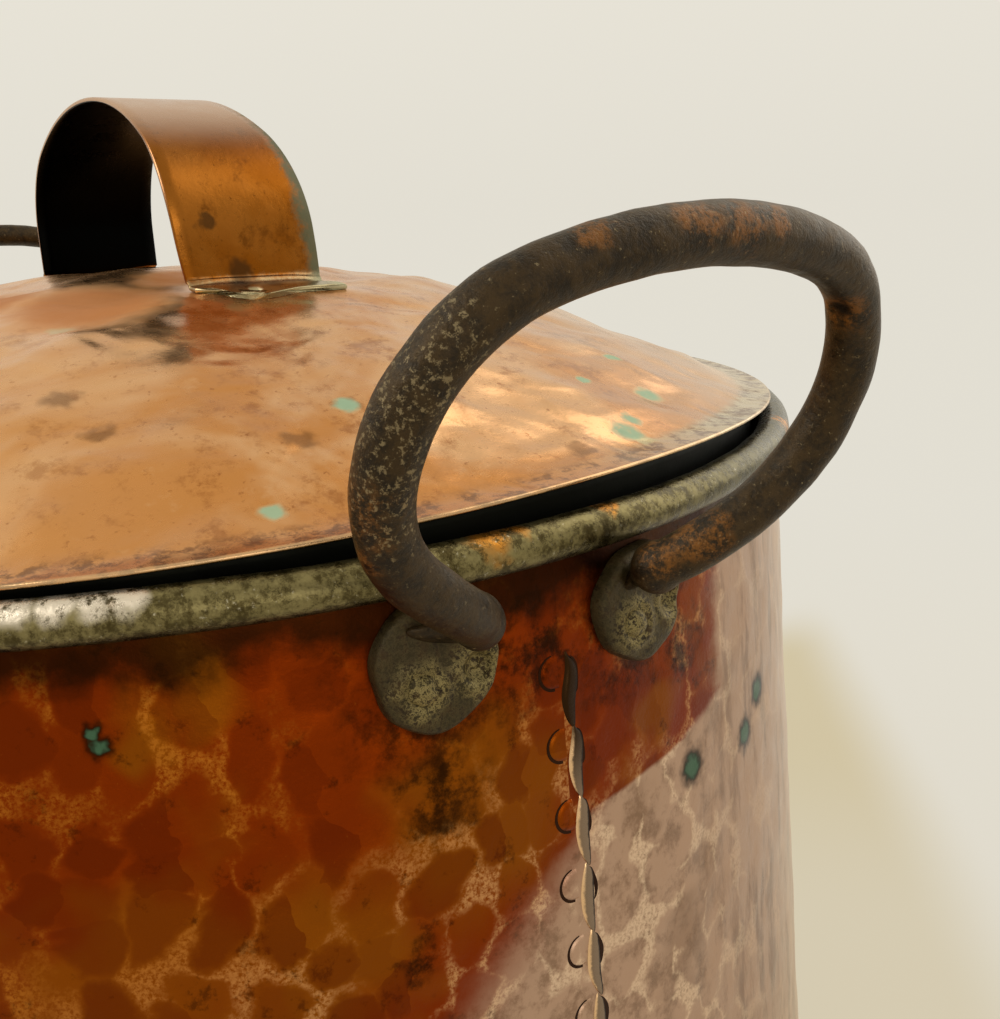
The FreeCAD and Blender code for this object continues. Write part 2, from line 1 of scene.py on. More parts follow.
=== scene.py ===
"""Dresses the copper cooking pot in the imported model's own frame, in metres.

The hammered wall with its cramped seam, the rolled bead, the two forged iron loops with their riveted pads,
the domed lid with its strap, the flange and the base each have a class of their own.
"""

import logging
import math
from dataclasses import dataclass
from enum import Enum
from typing import Iterable, Sequence

import bmesh
import bpy
import numpy as np
from mathutils import Matrix, Vector, noise

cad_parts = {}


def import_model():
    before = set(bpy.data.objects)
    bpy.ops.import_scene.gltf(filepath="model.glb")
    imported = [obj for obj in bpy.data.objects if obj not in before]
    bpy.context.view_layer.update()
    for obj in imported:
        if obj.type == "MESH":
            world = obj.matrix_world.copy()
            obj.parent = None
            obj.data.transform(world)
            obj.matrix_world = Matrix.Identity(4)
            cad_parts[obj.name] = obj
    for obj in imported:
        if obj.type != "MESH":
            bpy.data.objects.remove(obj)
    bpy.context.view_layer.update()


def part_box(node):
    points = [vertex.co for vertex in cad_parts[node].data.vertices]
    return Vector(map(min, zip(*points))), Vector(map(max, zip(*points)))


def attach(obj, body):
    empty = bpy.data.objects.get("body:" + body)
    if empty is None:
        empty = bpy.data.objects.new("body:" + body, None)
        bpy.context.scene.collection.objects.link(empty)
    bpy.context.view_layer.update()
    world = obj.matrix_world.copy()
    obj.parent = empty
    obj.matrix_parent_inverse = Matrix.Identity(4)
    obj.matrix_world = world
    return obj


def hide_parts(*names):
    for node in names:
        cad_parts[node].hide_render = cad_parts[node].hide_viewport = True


LOG = logging.getLogger("copper_pot")
MM = 0.001
BODY = "root"
BEAD_TOP = 5.24 * MM  # from the bead's centre up to its top, which is hammered in flats
LID_INSET = 1.0 * MM  # from the bead's centre in to the lid's edge
NECK_STEP = 1.6 * MM  # from the bead's centre out to the wall's top

Colour = tuple[float, float, float]
Socket = bpy.types.NodeSocket


@dataclass(frozen=True)
class PotSizes:
    """The pot's driving sizes, taken from the CAD frame where its boxes give them."""

    rim_r: float
    rim_z: float
    foot_z: float
    foot_r: float
    top_r: float
    lap_z: float
    base_r: float
    bead_r: float = 5.35 * MM
    neck_drop: float = 16.0 * MM
    wall_sheet: float = 1.5 * MM
    base_sheet: float = 2.0 * MM

    @classmethod
    def from_frame(cls) -> "PotSizes":
        """Reads the sizes from the boxes of the wall, the lid and the base.

        Returns:
            The sizes.
        """
        wall_low, wall_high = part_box("pot_wall")
        base_low, base_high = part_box("pot_base")
        lid_low, lid_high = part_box("lid")
        rim_r = (lid_high.y - lid_low.y) / 2 + LID_INSET
        rim_z = wall_high.z - BEAD_TOP
        return cls(
            rim_r=rim_r,
            rim_z=rim_z,
            foot_z=wall_low.z,
            foot_r=wall_high.y,
            top_r=rim_r + NECK_STEP,
            lap_z=base_high.z,
            base_r=base_high.y,
        )

    @property
    def top_z(self) -> float:
        """Height at which the wall turns into the neck."""
        return self.rim_z - self.neck_drop

    @property
    def slope(self) -> float:
        """Growth of the wall's radius for each metre down."""
        return (self.foot_r - self.top_r) / (self.top_z - self.foot_z)

    def wall_r(self, height: np.ndarray | float) -> np.ndarray | float:
        """Radius of the wall's outside at a height."""
        return self.top_r + (self.top_z - height) * self.slope


class Wrap(Enum):
    """Which ways a grid of points closes on itself."""

    NONE = "none"
    COLUMNS = "columns"
    BOTH = "both"


def grid_object(
    name: str, points: np.ndarray, wrap: Wrap = Wrap.NONE, uv: np.ndarray | None = None
) -> bpy.types.Object:
    """Makes a smooth mesh from rows and columns of points.

    Args:
        name: The object's name.
        points: Points in metres, as rows by columns by 3.
        wrap: Whether the columns, or the rows too, close on themselves.
        uv: Texture places for each corner of the grid, one more along each way that closes.

    Returns:
        The linked object.
    """
    rows, columns = points.shape[:2]
    row_count = rows if wrap is Wrap.BOTH else rows - 1
    column_count = columns if wrap is not Wrap.NONE else columns - 1
    i, j = np.meshgrid(np.arange(row_count), np.arange(column_count), indexing="ij")
    next_i, next_j = (i + 1) % rows, (j + 1) % columns
    near, far = i * columns, next_i * columns
    faces = np.stack([near + j, near + next_j, far + next_j, far + j], -1)
    mesh = bpy.data.meshes.new(name)
    mesh.from_pydata(points.reshape(-1, 3).tolist(), [], faces.reshape(-1, 4).tolist())
    if uv is not None:
        corners = np.stack([uv[i, j], uv[i, j + 1], uv[i + 1, j + 1], uv[i + 1, j]], 2)
        layer = mesh.uv_layers.new(name="place")
        layer.data.foreach_set("uv", corners.reshape(-1).astype(np.float32))
    tool = bmesh.new()
    tool.from_mesh(mesh)
    bmesh.ops.remove_doubles(tool, verts=tool.verts, dist=1e-6)
    bmesh.ops.recalc_face_normals(tool, faces=tool.faces)
    tool.to_mesh(mesh)
    tool.free()
    mesh.shade_smooth()
    piece = bpy.data.objects.new(name, mesh)
    bpy.context.scene.collection.objects.link(piece)
    return piece


def joined(name: str, pieces: Sequence[bpy.types.Object]) -> bpy.types.Object:
    """Joins several pieces into the first of them and names it.

    Args:
        name: The joined object's name.
        pieces: The objects. The first takes up the others.

    Returns:
        The joined object.
    """
    bpy.ops.object.select_all(action="DESELECT")
    for piece in pieces:
        piece.select_set(True)
    bpy.context.view_layer.objects.active = pieces[0]
    if len(pieces) > 1:
        bpy.ops.object.join()
    pieces[0].name = pieces[0].data.name = name
    return pieces[0]


def lathe(profile: np.ndarray, columns: int) -> np.ndarray:
    """Turns a closed profile of radius and height round the pot's axis.

    Args:
        profile: Radius and height of each point, in metres.
        columns: Number of points round the axis.

    Returns:
        Points as rows by columns by 3.
    """
    angles = np.linspace(0, 2 * math.pi, columns, endpoint=False)
    radius, height = profile[:, :1], profile[:, 1:]
    return np.stack([radius * np.cos(angles), radius * np.sin(angles), height + 0 * angles], -1)


def rings(columns: int, rows: int) -> Sequence[np.ndarray]:
    """Angles round a round form and shares of its radius, from its middle to its edge."""
    angles = np.linspace(0, 2 * math.pi, columns, endpoint=False)
    return np.meshgrid(angles, np.linspace(0, 1, rows), indexing="xy")


def ripple(x: np.ndarray, y: np.ndarray, wavelength: float, seed: int, waves: int = 14) -> np.ndarray:
    """A smooth uneven field between about minus one and one, from waves in many directions.

    Args:
        x: Places along one way, in metres.
        y: Places along the other.
        wavelength: Usual length of a wave.
        seed: Start of the random draws.
        waves: Number of waves.

    Returns:
        The field at each place.
    """
    generator = np.random.default_rng(seed)
    field = np.zeros(np.broadcast(x, y).shape)
    for _ in range(waves):
        turn, phase = generator.uniform(0, 2 * math.pi, 2)
        length = wavelength * generator.uniform(0.7, 1.6)
        field += np.sin((x * math.cos(turn) + y * math.sin(turn)) * 2 * math.pi / length + phase)
    return field / math.sqrt(waves)


def smooth_step(value: np.ndarray, low: float, high: float) -> np.ndarray:
    """Zero under low, one over high and a soft rise between them."""
    t = np.clip((value - low) / (high - low), 0, 1)
    return t * t * (3 - 2 * t)


class Graph:
    """A material's node graph, built with short calls."""

    def __init__(self, name: str) -> None:
        """Starts an empty material with its shader and output.

        Args:
            name: The material's name.
        """
        self.material = bpy.data.materials.new(name)
        self.material.use_nodes = True
        self.tree = self.material.node_tree
        self.tree.nodes.clear()
        self.shader = self.node("ShaderNodeBsdfPrincipled")
        output = self.node("ShaderNodeOutputMaterial")
        self.tree.links.new(self.shader.outputs["BSDF"], output.inputs["Surface"])
        self.place = self.node("ShaderNodeTexCoord").outputs["Object"]
        self.uv = self.node("ShaderNodeTexCoord").outputs["UV"]

    def node(self, kind: str, **settings: object) -> bpy.types.Node:
        """Adds a node and sets its properties.

        Args:
            kind: The node's type.
            settings: Properties to set on it.

        Returns:
            The node.
        """
        made = self.tree.nodes.new(kind)
        for key, value in settings.items():
            setattr(made, key, value)
        return made

    def feed(self, socket: Socket, value: object) -> None:
        """Links a socket to another, or gives it a plain value.

        Args:
            socket: The input to fill.
            value: A socket to link, a colour or a plain value.
        """
        if isinstance(value, bpy.types.NodeSocket):
            self.tree.links.new(value, socket)
        elif isinstance(value, tuple) and len(value) == 3 and socket.type == "RGBA":
            socket.default_value = (*value, 1.0)
        else:
            socket.default_value = value

    def math(self, operation: str, *values: object) -> Socket:
        """A Math node over one to three values.

        Args:
            operation: What the node does.
            values: Its inputs, as sockets or numbers.

        Returns:
            The result.
        """
        made = self.node("ShaderNodeMath", operation=operation)
        for socket, value in zip(made.inputs, values):
            self.feed(socket, value)
        return made.outputs[0]

    def times(self, first: object, second: object) -> Socket:
        """The product of two values."""
        return self.math("MULTIPLY", first, second)

    def sloped(self, value: object, slope: object, start: object) -> Socket:
        """A value times a slope, plus a start."""
        return self.math("MULTIPLY_ADD", value, slope, start)

    def rise(self, value: object, low: float, high: float) -> Socket:
        """A soft step from 0 at low to 1 at high. It falls where low is the greater.

        Args:
            value: The value to follow.
            low: Where the step is 0.
            high: Where it is 1.

        Returns:
            The step.
        """
        made = self.node("ShaderNodeMapRange", interpolation_type="SMOOTHSTEP")
        start, end, out_start, out_end = (low, high, 0.0, 1.0) if low < high else (high, low, 1.0, 0.0)
        for socket, given in zip(made.inputs, (value, start, end, out_start, out_end)):
            self.feed(socket, given)
        return made.outputs[0]

    def linear(self, value: object, low: float, high: float) -> Socket:
        """A straight clamped rise from 0 at low to 1 at high.

        Args:
            value: The value to follow.
            low: Where the rise is 0.
            high: Where it is 1.

        Returns:
            The rise.
        """
        made = self.node("ShaderNodeMapRange")
        for socket, given in zip(made.inputs, (value, low, high, 0.0, 1.0)):
            self.feed(socket, given)
        return made.outputs[0]

    def mix(self, share: object, first: object, second: object) -> Socket:
        """A colour between two.

        Args:
            share: Share of the second colour.
            first: The colour at 0.
            second: The colour at 1.

        Returns:
            The mixed colour.
        """
        made = self.node("ShaderNodeMix", data_type="RGBA")
        sockets = [s for s in made.inputs if s.type == "RGBA"]
        self.feed(made.inputs[0], share)
        self.feed(sockets[0], first)
        self.feed(sockets[1], second)
        return [s for s in made.outputs if s.type == "RGBA"][0]

    def scaled(self, vector: Socket, scale: tuple[float, float, float]) -> Socket:
        """A vector stretched along its axes.

        Args:
            vector: The vector.
            scale: A factor for each axis.

        Returns:
            The stretched vector.
        """
        made = self.node("ShaderNodeVectorMath", operation="MULTIPLY")
        self.feed(made.inputs[0], vector)
        made.inputs[1].default_value = scale
        return made.outputs[0]

    def plus(self, vector: Socket, other: object) -> Socket:
        """The sum of two vectors.

        Args:
            vector: The first vector.
            other: The second, as a socket or three numbers.

        Returns:
            The sum.
        """
        made = self.node("ShaderNodeVectorMath", operation="ADD")
        self.feed(made.inputs[0], vector)
        self.feed(made.inputs[1], other)
        return made.outputs[0]

    def split(self, vector: Socket) -> tuple[Socket, Socket, Socket]:
        """A vector's three parts.

        Args:
            vector: The vector.

        Returns:
            Its parts along X, Y and Z.
        """
        made = self.node("ShaderNodeSeparateXYZ")
        self.feed(made.inputs[0], vector)
        return made.outputs[0], made.outputs[1], made.outputs[2]

    def far_from(self, vector: Socket, point: tuple[float, float, float]) -> Socket:
        """Distance to a point.

        Args:
            vector: The place.
            point: The point, in metres.

        Returns:
            The distance, in metres.
        """
        made = self.node("ShaderNodeVectorMath", operation="DISTANCE")
        self.feed(made.inputs[0], vector)
        made.inputs[1].default_value = point
        return made.outputs["Value"]

    def cloud(
        self, vector: Socket, size: float, detail: float = 4.0, rough: float = 0.6, warp: float = 0.0
    ) -> Socket:
        """Noise whose lumps are about as wide as the size, in metres.

        Args:
            vector: The place.
            size: Width of the lumps, in metres.
            detail: Number of finer layers.
            rough: Strength of the finer layers.
            warp: How far the lumps are twisted.

        Returns:
            A value from 0 to 1.
        """
        made = self.node("ShaderNodeTexNoise")
        self.feed(made.inputs["Vector"], vector)
        made.inputs["Scale"].default_value = 1 / size
        made.inputs["Detail"].default_value = detail
        made.inputs["Roughness"].default_value = rough
        made.inputs["Distortion"].default_value = warp
        return made.outputs["Fac"]

    def cells(self, vector: Socket, randomness: float) -> tuple[Socket, Socket]:
        """Flat cells one unit wide: the distance to their middle and a chance value for each.

        Args:
            vector: The place, counted in cells.
            randomness: 0 for an even grid and 1 for a scattered one.

        Returns:
            The distance to the cell's middle, and the cell's chance value.
        """
        made = self.node("ShaderNodeTexVoronoi", feature="F1", voronoi_dimensions="2D")
        self.feed(made.inputs["Vector"], vector)
        made.inputs["Scale"].default_value = 1.0
        made.inputs["Randomness"].default_value = randomness
        chance, _, _ = self.split(made.outputs["Color"])
        return made.outputs["Distance"], chance

    def wobble(self, vector: Socket, size: float, amount: float) -> Socket:
        """A vector pushed about by noise.

        Args:
            vector: The vector.
            size: Width of the noise's lumps, in metres.
            amount: Reach of the push, in metres.

        Returns:
            The pushed vector.
        """
        made = self.node("ShaderNodeTexNoise")
        self.feed(made.inputs["Vector"], vector)
        made.inputs["Scale"].default_value = 1 / size
        centred = self.plus(made.outputs["Color"], (-0.5, -0.5, -0.5))
        return self.plus(vector, self.scaled(centred, (amount, amount, amount)))

    def relief(self, *layers: tuple[Socket, float]) -> None:
        """Bump from several heights, each with its depth in metres.

        Args:
            layers: Heights, each with its depth in metres.
        """
        total: object = 0.0
        for height, depth in layers:
            total = self.math("MULTIPLY_ADD", height, depth, total)
        bump = self.node("ShaderNodeBump")
        bump.inputs["Strength"].default_value = 1.0
        bump.inputs["Distance"].default_value = 1.0
        self.feed(bump.inputs["Height"], total)
        self.feed(self.shader.inputs["Normal"], bump.outputs[0])

    def finish(self, colour: object, roughness: object, metallic: object) -> bpy.types.Material:
        """Sets the shader's main values and gives the material.

        Args:
            colour: Base colour.
            roughness: Roughness.
            metallic: Share of bare metal.

        Returns:
            The finished material.
        """
        self.feed(self.shader.inputs["Base Color"], colour)
        self.feed(self.shader.inputs["Roughness"], roughness)
        self.feed(self.shader.inputs["Metallic"], metallic)
        return self.material


def dress(
    piece: bpy.types.Object, material: bpy.types.Material, nodes: Iterable[str] = ()
) -> None:
    """Gives a piece its finish and its body, and hides the CAD nodes that it stands for.

    Args:
        piece: The object.
        material: Its finish.
        nodes: CAD nodes that the piece stands for.
    """
    piece.data.materials.clear()
    piece.data.materials.append(material)
    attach(piece, BODY)
    if nodes:
        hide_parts(*nodes)
    LOG.info("%s: %d faces", piece.name, len(piece.data.polygons))


@dataclass(frozen=True)
class Spot:
    """A stain at a place in the pot's frame, in metres."""

    x: float
    y: float
    z: float
    width: float

    @classmethod
    def at(cls, x: float, y: float, z: float, width: float) -> "Spot":
        """A stain whose place and width are given in millimetres."""
        return cls(x * MM, y * MM, z * MM, width * MM)


def spots_at(*places: tuple[float, float, float, float]) -> list[Spot]:
    """Stains from places and widths in millimetres."""
    return [Spot.at(*place) for place in places]


def spot_mask(graph: Graph, place: Socket, spots: Sequence[Spot]) -> Socket:
    """One inside any of the spots and zero outside them.

    Args:
        graph: The graph that the nodes are added to.
        place: The place on the surface.
        spots: The stains.

    Returns:
        The mask.
    """
    total: object = 0.0
    for spot in spots:
        distance = graph.far_from(place, (spot.x, spot.y, spot.z))
        total = graph.math("MAXIMUM", total, graph.rise(distance, spot.width / 2, spot.width / 5))
    return total


def around(radius: float, degrees: float, height: float) -> tuple[float, float, float]:
    """A point at a radius and an angle round the pot, in metres."""
    angle = math.radians(degrees)
    return radius * math.cos(angle), radius * math.sin(angle), height


@dataclass(frozen=True)
class HammeredCopper:
    """Copper covered in planishing marks: dark red ovals in a network of grainy orange. Its pale right side
    is partly its own pale pink tone and partly painted reflection, and the dark under the bead and round the
    pads is painted shade.
    """

    red: Colour = (0.215, 0.028, 0.0012)
    amber: Colour = (0.255, 0.068, 0.0028)
    oval: Colour = (0.110, 0.0125, 0.0010)
    grain: Colour = (0.46, 0.150, 0.014)
    peach: Colour = (0.66, 0.350, 0.140)
    pink: Colour = (0.50, 0.325, 0.215)
    dull: Colour = (0.235, 0.140, 0.082)
    line: Colour = (0.80, 0.585, 0.390)
    green: Colour = (0.070, 0.150, 0.085)
    # Dark soot tone. It is also used as painted shade under the bead, round the pads, in the seam's recesses
    # and inside the strap.
    soot_and_shade: Colour = (0.013, 0.0050, 0.0012)
    # Painted reflection: near white tone for the right side.
    painted_reflection: Colour = (0.92, 0.76, 0.58)
    mark_width: float = 12.2 * MM
    mark_height: float = 15.6 * MM

    def pale_tone_and_reflection(self, g: Graph, sizes: PotSizes, wander: Socket) -> Socket:
        """Where the wall takes a pale pink tone that is partly painted reflection of the bright surround: the
        right side, and low down also by the seam.

        Args:
            g: The graph that the nodes are added to.
            sizes: The pot's driving sizes.
            wander: Noise that frays the boundary.

        Returns:
            Share of the pale tone and painted reflection.
        """
        degrees = self.angle(g)
        _, _, height = g.split(g.place)
        start: object = 16.9
        for high, low, turn in ((60, 67, -4.7), (67, 72, -9.0), (72, 101, -8.5), (101, 200, -18.0)):
            share = g.linear(height, sizes.rim_z - high * MM, sizes.rim_z - low * MM)
            start = g.sloped(share, turn, start)
        inside = g.sloped(wander, 4.0, g.math("SUBTRACT", degrees, start))
        soft = g.sloped(g.linear(height, sizes.rim_z - 66 * MM, sizes.rim_z - 85 * MM), -0.7, 1.0)
        inside = g.times(inside, soft)
        return g.times(g.rise(inside, -0.9, 1.6), g.rise(degrees, 125.0, 75.0))

    def angle(self, g: Graph) -> Socket:
        """Degrees round the pot."""
        x, y, _ = g.split(g.place)
        return g.times(g.math("ARCTAN2", y, x), 180 / math.pi)

    def stained(self, g: Graph, sizes: PotSizes, colour: Socket, mottle: Socket) -> Socket:
        """Adds painted shade under the bead and round and below the pads, and the green spots with their dark
        rims.

        Args:
            g: The graph that the nodes are added to.
            sizes: The pot's driving sizes.
            colour: The colour so far.
            mottle: Noise that breaks up the painted shade round the pads.

        Returns:
            The stained colour.
        """
        _, _, height = g.split(g.place)
        # Painted shade: a dark band just under the bead.
        jagged = g.sloped(g.math("SUBTRACT", g.cloud(g.place, 24 * MM, 6.0), 0.5), 30 * MM, height)
        band = g.rise(jagged, sizes.top_z - 2 * MM, sizes.top_z + 7 * MM)
        colour = g.mix(g.times(band, 0.9), colour, self.soot_and_shade)
        # Painted shade round and below the pads and under the handle.
        near = [Spot(*around(sizes.top_r, side * 7.65, sizes.rim_z - 24 * MM), 62 * MM) for side in (-1, 1)]
        near.append(Spot(*around(sizes.top_r, -8.0, sizes.rim_z - 52 * MM), 34 * MM))
        near.append(Spot(*around(sizes.top_r, -1.0, sizes.rim_z - 26 * MM), 38 * MM))
        near.append(Spot(*around(sizes.top_r + 5 * MM, -9.6, sizes.rim_z - 94 * MM), 16 * MM))
        near.append(Spot(*around(sizes.top_r, 13.0, sizes.rim_z - 40 * MM), 26 * MM))
        pad_shade = g.times(spot_mask(g, g.wobble(g.place, 10 * MM, 22 * MM), near), g.rise(mottle, 0.60, 0.40))
        colour = g.mix(g.times(pad_shade, 0.85), colour, self.soot_and_shade)
        greens = [
            Spot(*around(sizes.top_r, -26.0, sizes.rim_z - 27.0 * MM), 5 * MM),
            Spot(*around(sizes.top_r, -26.1, sizes.rim_z - 24.0 * MM), 4 * MM),
            Spot(*around(sizes.top_r + 3 * MM, 25.2, sizes.rim_z - 73 * MM), 9 * MM),
            Spot(*around(sizes.top_r + 4 * MM, 22.0, sizes.rim_z - 82 * MM), 9 * MM),
            Spot(*around(sizes.top_r + 4 * MM, 13.2, sizes.rim_z - 77 * MM), 9 * MM),
        ]
        stretched = g.wobble(g.place, 3 * MM, 4 * MM)
        rims = [Spot(s.x, s.y, s.z, s.width * 1.7) for s in greens]
        colour = g.mix(spot_mask(g, stretched, rims), colour, self.soot_and_shade)
        return g.mix(g.times(spot_mask(g, stretched, greens), 0.85), colour, self.green)

    def material(self, sizes: PotSizes) -> bpy.types.Material:
        """Builds the finish for the wall, which is laid out by arc and height in its texture places.

        Args:
            sizes: The pot's driving sizes.

        Returns:
            The finished material.
        """
        g = Graph("hammered_copper")
        warped = g.wobble(g.wobble(g.uv, 30 * MM, 22 * MM), 6 * MM, 6 * MM)
        middle, chance = g.cells(g.scaled(warped, (1 / self.mark_width, 1 / self.mark_height, 1.0)), 0.72)
        mottle = g.cloud(g.place, 9 * MM, 8.0, 0.72)
        grains = g.cloud(g.place, 1.1 * MM, 4.0, 0.72)
        broad = g.cloud(g.place, 70 * MM, 4.0, 0.6)
        ragged = g.sloped(g.math("SUBTRACT", mottle, 0.5), 0.34, middle)
        inside = g.rise(ragged, 0.60, 0.38)
        edge = g.rise(ragged, 0.48, 0.64)

        amber = spots_at(
            (226, -22, 284, 70), (226, 37, 289, 24), (223, -60, 262, 60),
            (209, -92, 318, 26), (214, -80, 330, 30),
        )
        warm = spot_mask(g, g.wobble(g.place, 22 * MM, 30 * MM), amber)
        warm = g.math("MAXIMUM", warm, g.times(g.rise(broad, 0.48, 0.62), 0.75))
        colour = g.mix(warm, self.red, self.amber)
        colour = g.mix(g.times(g.rise(mottle, 0.44, 0.34), 0.55), colour, self.soot_and_shade)
        share = g.times(inside, g.sloped(g.rise(chance, 0.2, 0.9), 0.45, 0.15))
        colour = g.mix(share, colour, self.oval)
        worn = g.rise(g.cloud(g.place, 34 * MM, 5.0, 0.65), 0.42, 0.60)
        rubbed = spots_at((228, -14, 262, 34), (228, -24, 240, 40), (226, -46, 268, 30), (229, -3, 280, 20))
        rubbed_share = spot_mask(g, g.wobble(g.place, 14 * MM, 18 * MM), rubbed)
        worn = g.math("MAXIMUM", worn, rubbed_share)
        speckled = g.times(g.times(edge, worn), g.rise(grains, 0.36, 0.62))
        _, y, height = g.split(g.place)
        low = g.sloped(y, 0.5, g.times(height, -1.0))
        peachy = g.mix(g.rise(low, -0.33, -0.25), self.grain, self.peach)
        colour = g.mix(g.times(speckled, 0.75), colour, peachy)
        colour = g.mix(g.times(g.rise(grains, 0.66, 0.80), 0.30), colour, self.grain)

        # The pale zone on the right is partly the copper's own pale pink tone and partly painted reflection
        # of the bright surround.
        pale = self.pale_tone_and_reflection(g, sizes, g.math("SUBTRACT", g.cloud(g.place, 16 * MM, 6.0, 0.7), 0.5))
        streaks = g.cloud(g.scaled(g.place, (1.0, 1.0, 0.22)), 8 * MM, 6.0, 0.65)
        side = g.rise(self.angle(g), 8.0, 24.0)
        uneven = g.mix(side, mottle, streaks)
        tone = g.mix(g.times(g.rise(uneven, 0.54, 0.36), 0.75), self.pink, self.dull)
        tone = g.mix(g.times(g.rise(broad, 0.56, 0.66), 0.45), tone, self.dull)
        net = g.times(g.times(edge, g.rise(grains, 0.30, 0.60)), g.sloped(side, -0.6, 0.85))
        tone = g.mix(net, tone, self.line)
        # Painted reflection: near white glare further round the right side.
        tone = g.mix(g.times(g.rise(self.angle(g), 20.0, 56.0), 0.95), tone, self.painted_reflection)
        colour = g.mix(g.times(pale, 0.92), colour, tone)
        colour = self.stained(g, sizes, colour, mottle)

        g.relief((ragged, 0.22 * MM), (mottle, 0.18 * MM), (grains, 0.035 * MM))
        return g.finish(colour, g.sloped(mottle, 0.4, 0.14), 1.0)


@dataclass(frozen=True)
class TarnishedCopper:
    """Plain copper sheet with mottled tarnish and dark specks."""

    name: str
    base: Colour
    warm: Colour
    dark: Colour
    dent: float = 0.5 * MM
    roughness: float = 0.24
    metallic: float = 1.0

    def colour(self, g: Graph) -> Socket:
        """The mottled colour.

        Args:
            g: The graph that the nodes are added to.

        Returns:
            The colour.
        """
        broad = g.cloud(g.place, 75 * MM, 4.0, 0.6, 0.6)
        mottle = g.cloud(g.place, 14 * MM, 9.0, 0.75)
        speck = g.cloud(g.place, 2.4 * MM, 5.0, 0.7)
        colour = g.mix(g.rise(broad, 0.40, 0.60), self.base, self.warm)
        colour = g.mix(g.times(g.rise(mottle, 0.48, 0.34), 0.62), colour, self.dark)
        colour = g.mix(g.times(g.rise(mottle, 0.56, 0.70), 0.5), colour, self.warm)
        return g.mix(g.times(g.rise(speck, 0.60, 0.70), 0.7), colour, self.dark)

    def close(self, g: Graph, colour: Socket, dull: object = 0.0) -> bpy.types.Material:
        """Adds the relief and the gloss.

        Args:
            g: The graph that the colour is in.
            colour: The base colour.
            dull: Share of the surface that is covered in a dull crust.

        Returns:
            The finished material.
        """
        dents = g.cloud(g.place, 30 * MM, 2.0, 0.5, 0.5)
        pores = g.cloud(g.place, 1.6 * MM, 3.0, 0.6)
        uneven = g.cloud(g.place, 8 * MM, 5.0, 0.65)
        g.relief((dents, self.dent), (uneven, 0.14 * MM), (pores, 0.03 * MM))
        gloss = g.sloped(uneven, 0.25, self.roughness - 0.1)
        return g.finish(colour, g.sloped(dull, 0.4, gloss), g.sloped(dull, -0.9, self.metallic))

    def material(self) -> bpy.types.Material:
        """The finish without any more stains."""
        g = Graph(self.name)
        return self.close(g, self.colour(g))


@dataclass(frozen=True)
class ForgedIron:
    """Dark brown iron with rust in patches and fine pale pits, painted highlight where the pale specks
    gather, and painted shade in its deep pit.
    """

    name: str = "forged_iron"
    base: Colour = (0.036, 0.020, 0.0060)
    dark: Colour = (0.008, 0.0045, 0.0018)
    rust: Colour = (0.19, 0.068, 0.009)
    pale: Colour = (0.26, 0.20, 0.105)
    pit_shade: Colour = (0.004, 0.002, 0.001)
    rust_spots: tuple[Spot, ...] = ()
    sheen_speck_spots: tuple[Spot, ...] = ()
    pits: tuple[Spot, ...] = ()

    def colour(self, g: Graph) -> Socket:
        """The rusted colour.

        Args:
            g: The graph that the nodes are added to.

        Returns:
            The colour.
        """
        broad = g.cloud(g.place, 26 * MM, 5.0, 0.65)
        rough = g.cloud(g.place, 5 * MM, 9.0, 0.8)
        fine = g.cloud(g.place, 1.3 * MM, 5.0, 0.75)
        colour = g.mix(g.rise(rough, 0.38, 0.60), self.dark, self.base)
        place = g.wobble(g.place, 6 * MM, 9 * MM)
        patches = g.math("MAXIMUM", g.rise(broad, 0.64, 0.76), spot_mask(g, place, self.rust_spots))
        patches = g.times(patches, 0.85)
        rusty = g.times(patches, g.rise(g.sloped(fine, 0.6, rough), 0.72, 0.90))
        colour = g.mix(g.times(rusty, 0.85), colour, self.rust)
        # Pale specks, and painted highlight where the listed spots gather more of them.
        dust_and_sheen = g.sloped(spot_mask(g, place, self.sheen_speck_spots), 0.08, fine)
        colour = g.mix(g.times(g.rise(dust_and_sheen, 0.60, 0.70), 0.65), colour, self.pale)
        # Painted shade: the pit's inside nearly black.
        pit_shade_share = spot_mask(g, g.wobble(g.place, 3 * MM, 2 * MM), self.pits)
        return g.mix(pit_shade_share, colour, self.pit_shade)

    def close(self, g: Graph, colour: Socket) -> bpy.types.Material:
        """Adds the relief and the gloss.

        Args:
            g: The graph that the nodes are added to.
            colour: The base colour.

        Returns:
            The finished material.
        """
        rough = g.cloud(g.place, 5 * MM, 6.0, 0.7)
        g.relief((rough, 0.5 * MM), (g.cloud(g.place, 1.1 * MM, 4.0, 0.75), 0.16 * MM))
        g.shader.inputs["Specular IOR Level"].default_value = 0.30
        g.shader.inputs["Specular Tint"].default_value = (1.0, 0.86, 0.66, 1.0)
        return g.finish(colour, g.sloped(rough, 0.4, 0.20), 0.30)

    def material(self) -> bpy.types.Material:
        """The finish without any crust."""
        g = Graph(self.name)
        return self.close(g, self.colour(g))


